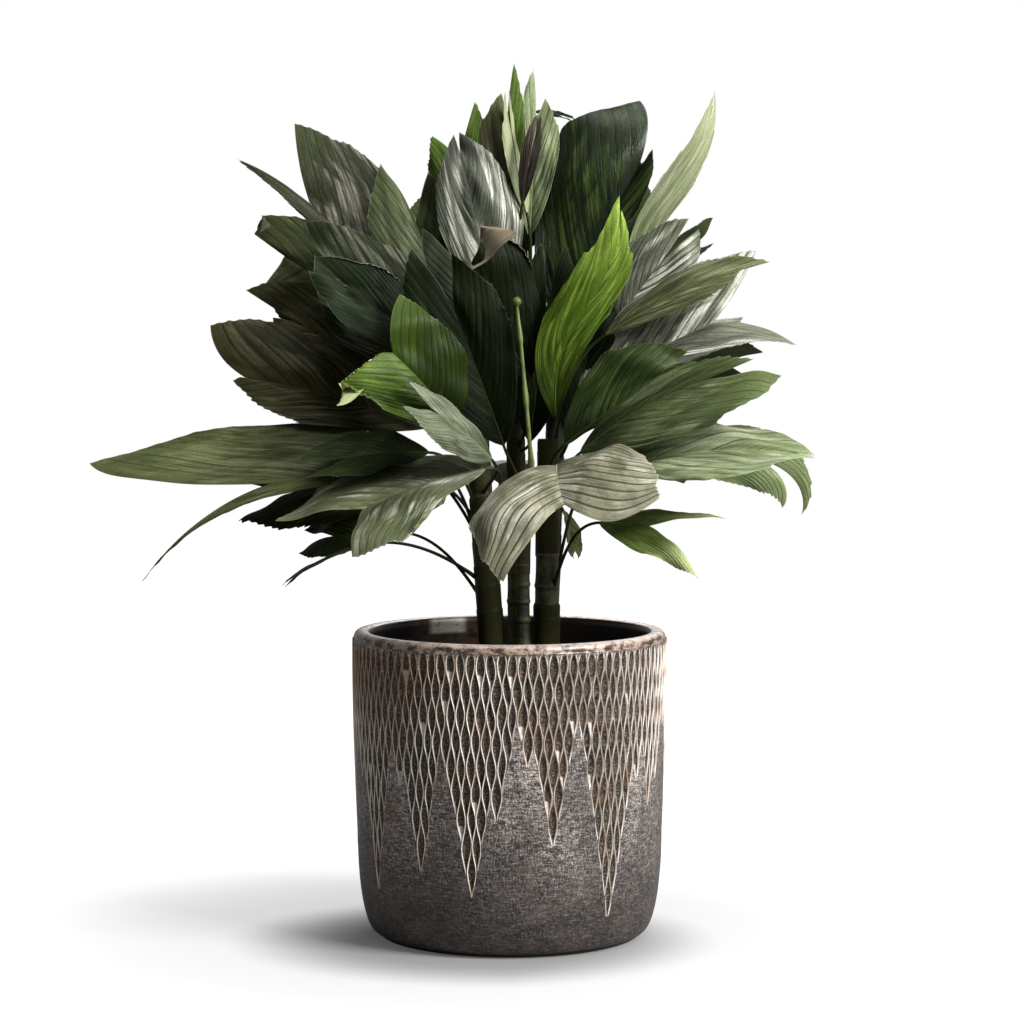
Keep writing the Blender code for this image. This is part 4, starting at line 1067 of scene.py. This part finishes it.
def halfBlade(leaf, stations, half, chance):
    nerves, width, sign = leaf["nerves"], leaf["width"][half], 1 if half else -1
    rows, columns = nerves * leaf["rows"] + 1, leaf["columns"] + 1
    along = np.repeat(np.linspace(0, 1, rows)[:, None], columns, 1)
    across = np.repeat(np.linspace(0, 1, columns)[None, :], rows, 0)
    across = across + 0.12 * np.sin(across * math.pi) * across      # finer towards the margin
    across = across / across.max()
    # the margin: each nerve ends in a tooth of its own length, and it goes slowly in and out
    ends = chance.uniform(0.25, 1.0, nerves + 2) * leaf["teeth"] / width
    place = along * nerves + 0.25
    tooth = ends[np.clip(place.astype(int), 0, nerves + 1)] * (1 - np.abs(place % 1 * 2 - 1)) ** 1.3
    tooth = tooth * smooth(along, 0, 0.03)
    ins = np.random.default_rng(int(width * 10 + leaf["height"] * 7)).uniform(0, 6.28, 2)
    inout = (np.sin(along * 10 + ins[0]) + 0.35 * np.sin(along * 23 + ins[1])) * np.sin(math.pi * along)
    stretched = across * (1 + tooth * smooth(across, 0.80, 1.0) + leaf["uneven"] * inout * across)
    swept = along ** (1 + (leaf["sweep"] - 1) * (1 - across))
    points, station = bladePoints(leaf, stations, half, swept, stretched)
    normals = gridNormals(points, sign)
    reach = np.linalg.norm(np.diff(points, axis=1), axis=2).sum(1)[:, None] / mm     # length of each nerve
    run = np.linalg.norm(np.diff(points, axis=0), axis=2).sum(0)[None, :] / mm
    # pleats, then waves towards the margin, then broad hollows and humps, calmer on a narrow half
    fine = np.abs(np.sin(math.pi * along * nerves)) ** 0.75 - 0.6
    heights = chance.uniform(0.6, 1.2, nerves + 1)[np.clip((along * nerves).astype(int), 0, nerves)]
    relief = leaf["pleat"] * heights * fine * smooth(across, 0.0, 0.22) * (1 - 0.35 * across)
    swing, beat = chance.uniform(0, 6.28, 3), chance.uniform(1.5, 3.5, 3)
    calm = min(1, width / 32)
    waves = sum(np.sin(beat[part] * math.pi * along + swing[part]) for part in range(3)) / 3
    ripple = np.sin(3.0 * across + swing[0] + 5 * along)
    relief = relief + calm * leaf["waves"] * (waves * across ** 2 + 0.5 * ripple * across)
    broad = np.sin(station * 7.5 + swing[1]) * np.sin(across * 3.4 + swing[2])
    broad = broad + 0.5 * np.sin(station * 15 + across * 4 + swing[0]) * across
    relief = relief + calm * leaf["swell"] * broad * smooth(across, 0, 0.4)
    points = points + normals * (relief * mm)[..., None]
    inward = (1 - across) * reach
    ends = np.minimum(along, 1 - along) * run + 40 * (1 - smooth(across, 0.02, 0.15))
    edge = np.minimum(inward, ends)
    if leaf["hem"][half]:
        points = rolledHem(leaf, half, points, sign, along, inward)
    if leaf["flap"][half]:
        points = foldedTip(leaf, half, points, sign)
    thickness = (blade["margin"] + (blade["middle"] - blade["margin"]) * smooth(edge, 0, 6)) * mm
    crease = np.abs(along * nerves - np.round(along * nerves)) * run[0, -1] / nerves     # mm to the nearest
    values = {"nerve": along * run[0, -1] / 6 + 30 * half, "crease": crease, "out": across * reach / 10,
              "tipward": station, "edge": edge, "rib": 0 * along, "tint": 0 * along + leaf["tint"][half]}
    return slab(points, gridNormals(points, sign), thickness, not half, values)


stalk = dict(
    rows=26, ribRows=25,
    radii=((0, 0.25, 1), (2.0, 1.25, 1.0)),     # share of the way from the cane, and radius there
    sheath=26,                                  # how far the foot wraps down the cane
    spread=((0, 0.1, 0.6, 0.92, 1), (0.05, 0.25, 0.4, 0.7, 0.1)),   # and how far it stands out
)


def stalkPath(leaf, stations):
    start = canePoint(canes[leaf["cane"]], leaf["height"])
    end, forward = stations[0][0], stations[1][0]
    reach = np.linalg.norm(end - start)
    leave = unit((end - start) / reach * 0.75 + np.array([0, 0, 0.35]))
    t = np.linspace(0, 1, stalk["rows"])[:, None]
    return (start * (2 * t ** 3 - 3 * t ** 2 + 1) + leave * reach * (t ** 3 - 2 * t ** 2 + t)
            + end * (3 * t ** 2 - 2 * t ** 3) + forward * reach * (t ** 3 - t ** 2))


def stalkAndRib(leaf, stations):
    shares = np.linspace(0, leaf["split"], stalk["ribRows"] + 1)[1:]
    rib = atStation(stations, shares)
    path = np.vstack([stalkPath(leaf, stations), rib[0] - rib[3] * 0.25 * mm])
    radii = np.interp(np.linspace(0, 1, stalk["rows"]), *stalk["radii"])
    radii = np.concatenate([radii, ribHalf(leaf, shares)]) * mm
    radii[-1] *= 0.4
    mark = np.concatenate([np.full(stalk["rows"], 1.0), np.full(stalk["ribRows"], 0.8)])
    return tube(path, radii, 12, {"rib": mark, "edge": 20.0})


def sheath(leaf):
    # the stalk's foot wraps the cane
    cane, top = canes[leaf["cane"]], leaf["height"] + 3
    heights = np.linspace(top - stalk["sheath"], top, 14)
    spread = np.interp(np.linspace(0, 1, 14), *stalk["spread"])
    return tube(canePoint(cane, heights), caneRadius(cane, heights) + spread * mm, 24,
                {"rib": 1.0, "edge": 20.0, "sheath": np.linspace(1, 0.4, 14)})


def leafSurface(look, seed):
    def surface(w):
        nerve, out, tipward, crease, edge, under, rib = (
            w.layer(name) for name in ("nerve", "out", "tipward", "crease", "edge", "under", "rib"))

        def drawn(along, outward, later, detail=3.0, rough=0.5):    # noise drawn out along the nerves
            return w.noise(w.at(nerve * along, out * outward, seed + later), 1.0, detail, rough)

        streaks = drawn(6.0, 0.40, 0.0, 5.0, 0.66)
        threads = drawn(4.5, 0.45, 3.0, 4.0, 0.7).step(0.42, 0.58)
        ribbons, patches = drawn(1.5, 0.13, 7.0, 2.0), drawn(0.20, 0.30, 13.0)
        clouds = drawn(0.35, 0.55, 21.0)
        grain = w.grit(800.0, rough=0.65)
        tone = 0.45 * streaks.step(0.36, 0.60) + 0.55 * clouds.step(0.40, 0.56)
        colour = tone.over(look["deep"], look["main"])
        # patches of sheen along the nerves: partly the leaf's silvering, partly painted sheen where it would
        # catch the light
        lit = ribbons.step(0.40, 0.58) * patches.step(0.45, 0.58)
        silverAndSheen = (lit * (0.45 + 0.75 * threads) + 0.12 * threads) * look["silverAndSheen"]
        colour = silverAndSheen.over(colour, look["sheen"])
        colour = (tipward.step(0.50, 1.05) * look["tipped"]).over(colour, look["tips"])
        # second colour over a half: for most leaves a darker copy as painted shade, for the crown's purple
        # leaf its own colour
        colour = (w.layer("tint") * (0.75 + 0.25 * streaks)).over(colour, look["tint"])
        colour = (grain.step(0.50, 0.66) * 0.38).over(colour, look["deep"])
        colour = (crease.step(0.75, 0.15) * look["vein"]).over(colour, look["deep"])
        # darker towards the blade's foot: partly its own darker base, partly painted shade of the plant's
        # core
        colour = (tipward.step(0.50, 0.02) * look["rooted"]).over(colour, look["deep"])
        # a pale line along the margin: partly the leaf's pale edge, partly painted rim light
        colour = (edge.step(0.9, 0.3) * 0.6).over(colour, look["margin"])
        below = (streaks.step(0.3, 0.7) * 0.35).over(look["under"], look["main"])
        colour = (under * 0.8).over(colour, below)
        colour = rib.step(0.3, 0.7).over(colour, look["rib"])
        stalk, papery = rib.step(0.85, 0.95), w.layer("sheath") * grain.step(0.35, 0.6)
        colour = stalk.over(colour, clouds.over((0.006, 0.008, 0.002), (0.034, 0.042, 0.011)))
        colour = (papery * 0.6).over(colour, (0.050, 0.036, 0.018))
        roughness = look["rough"] + 0.20 * grain + 0.15 * under
        metallic = look["metal"] * (1 - under) * (1 - rib) * (0.5 + silverAndSheen)
        height = streaks * 0.45 + threads * 0.15 + crease.step(0.0, 0.8) * 0.25 + grain * 0.15
        return colour, roughness, metallic, height
    return surface


for order, (name, leaf) in enumerate(leaves.items()):
    look, stations = lookOf(leaf), midline(leaf)
    chance = np.random.default_rng(100 + order)
    parts = [halfBlade(leaf, stations, half, chance) for half in (0, 1)]
    parts += [stalkAndRib(leaf, stations), sheath(leaf)]
    skin = coated(name + "_skin", leafSurface(look, order * 3.7), blade["relief"] * mm,
                  Specular_IOR_Level=look["specular"])
    piece(name + "_pleated", parts, skin, None if leaf["extra"] else name)


print("floor, light and camera")
studio = dict(
    floorGrey=0.25,             # the floor's own colour; the white that is seen is its glow
    glow=(0.07, 0.56, 0.40),    # under the pot, gained near it, and gained further out; the low glow near the pot is a painted shadow
    near=(0.010, 0.042), far=(0.03, 0.22),      # where each gain starts and ends
    shift=0.03, deep=1.6, right=0.12,           # the painted shadow pool lies forward, is shallow, and ends sooner right
    world=0.09,                 # light from all round
    mirrored=0.18,              # how much of the white background mirrors show
)
lamps = {
    "key": dict(place=(1.60, -1.10, 1.55), aim=(0, 0, 0.25), size=0.9, power=90),
    "top": dict(place=(0.1, -0.5, 2.0), aim=(0, 0, 0.3), size=0.9, power=12),
    "back": dict(place=(0.2, 1.9, 1.3), aim=(0, 0, 0.3), size=0.9, power=12),
}
view = dict(place=(0.0017, -2.14, 0.435), aim=(0.0017, 0.0, 0.2964), lens=107.6)


def seenRays(w):
    # all of what the eye meets straight on or through glass, and some of it in mirrors
    direct, through, mirrored = (w.node("ShaderNodeLightPath", out=ray) for ray in (
        "Is Camera Ray", "Is Transmission Ray", "Is Glossy Ray"))
    return w.maths("MAXIMUM", w.maths("MAXIMUM", direct, through), mirrored * studio["mirrored"])


def aimed(name, data, place, aim):
    made = bpy.data.objects.new(name, data)
    made.location = place
    made.rotation_euler = (Vector(aim) - Vector(place)).to_track_quat("-Z", "Y").to_euler()
    bpy.context.scene.collection.objects.link(made)
    return made


floorMesh = bpy.data.meshes.new("floor")
floorMesh.from_pydata([(x, y, -0.0003) for x, y in ((-4, -4), (4, -4), (4, 4), (-4, 4))], [], [(0, 1, 2, 3)])
floor = bpy.data.objects.new("floor", floorMesh)
bpy.context.scene.collection.objects.link(floor)
grey = (studio["floorGrey"],) * 3 + (1.0,)
floorCoat = coated("white_floor", lambda w: (grey, 0.9, 0.0, None), Specular_IOR_Level=0.0,
                   Emission_Strength=1.0)
floorMesh.materials.append(floorCoat)
w = Wire(floorCoat.node_tree)
x, y, _z = w.axes()
# the glow dims towards the pot: a painted shadow round its foot
ahead = y + studio["shift"]
away = x * x + studio["deep"] * ahead * ahead + studio["right"] * w.maths("MAXIMUM", x, 0.0)
least, gained, last = studio["glow"]
glow = least + gained * away.step(*studio["near"]) + last * away.step(*studio["far"])
glow = (glow * seenRays(w)).over((0, 0, 0), (1, 1, 1))
w.tree.links.new(glow.socket, w.tree.nodes["Principled BSDF"].inputs["Emission Color"])

world = bpy.data.worlds.new("studio")
bpy.context.scene.world = world
world.use_nodes = True
w = Wire(world.node_tree)
strength = studio["world"] + (1 - studio["world"]) * seenRays(w)
backdrop = w.tree.nodes["Background"]
backdrop.inputs["Color"].default_value = (1, 1, 1, 1)
w.tree.links.new(strength.socket, backdrop.inputs["Strength"])

for name, lamp in lamps.items():
    light = bpy.data.lights.new(name, "AREA")
    light.shape = "RECTANGLE"
    light.size = light.size_y = lamp["size"]
    light.energy = lamp["power"]
    aimed(name, light, lamp["place"], lamp["aim"])

camera = aimed("camera", bpy.data.cameras.new("camera"), view["place"], view["aim"])
camera.data.lens = view["lens"]
bpy.context.scene.camera = camera
bpy.context.scene.view_settings.view_transform = "Standard"
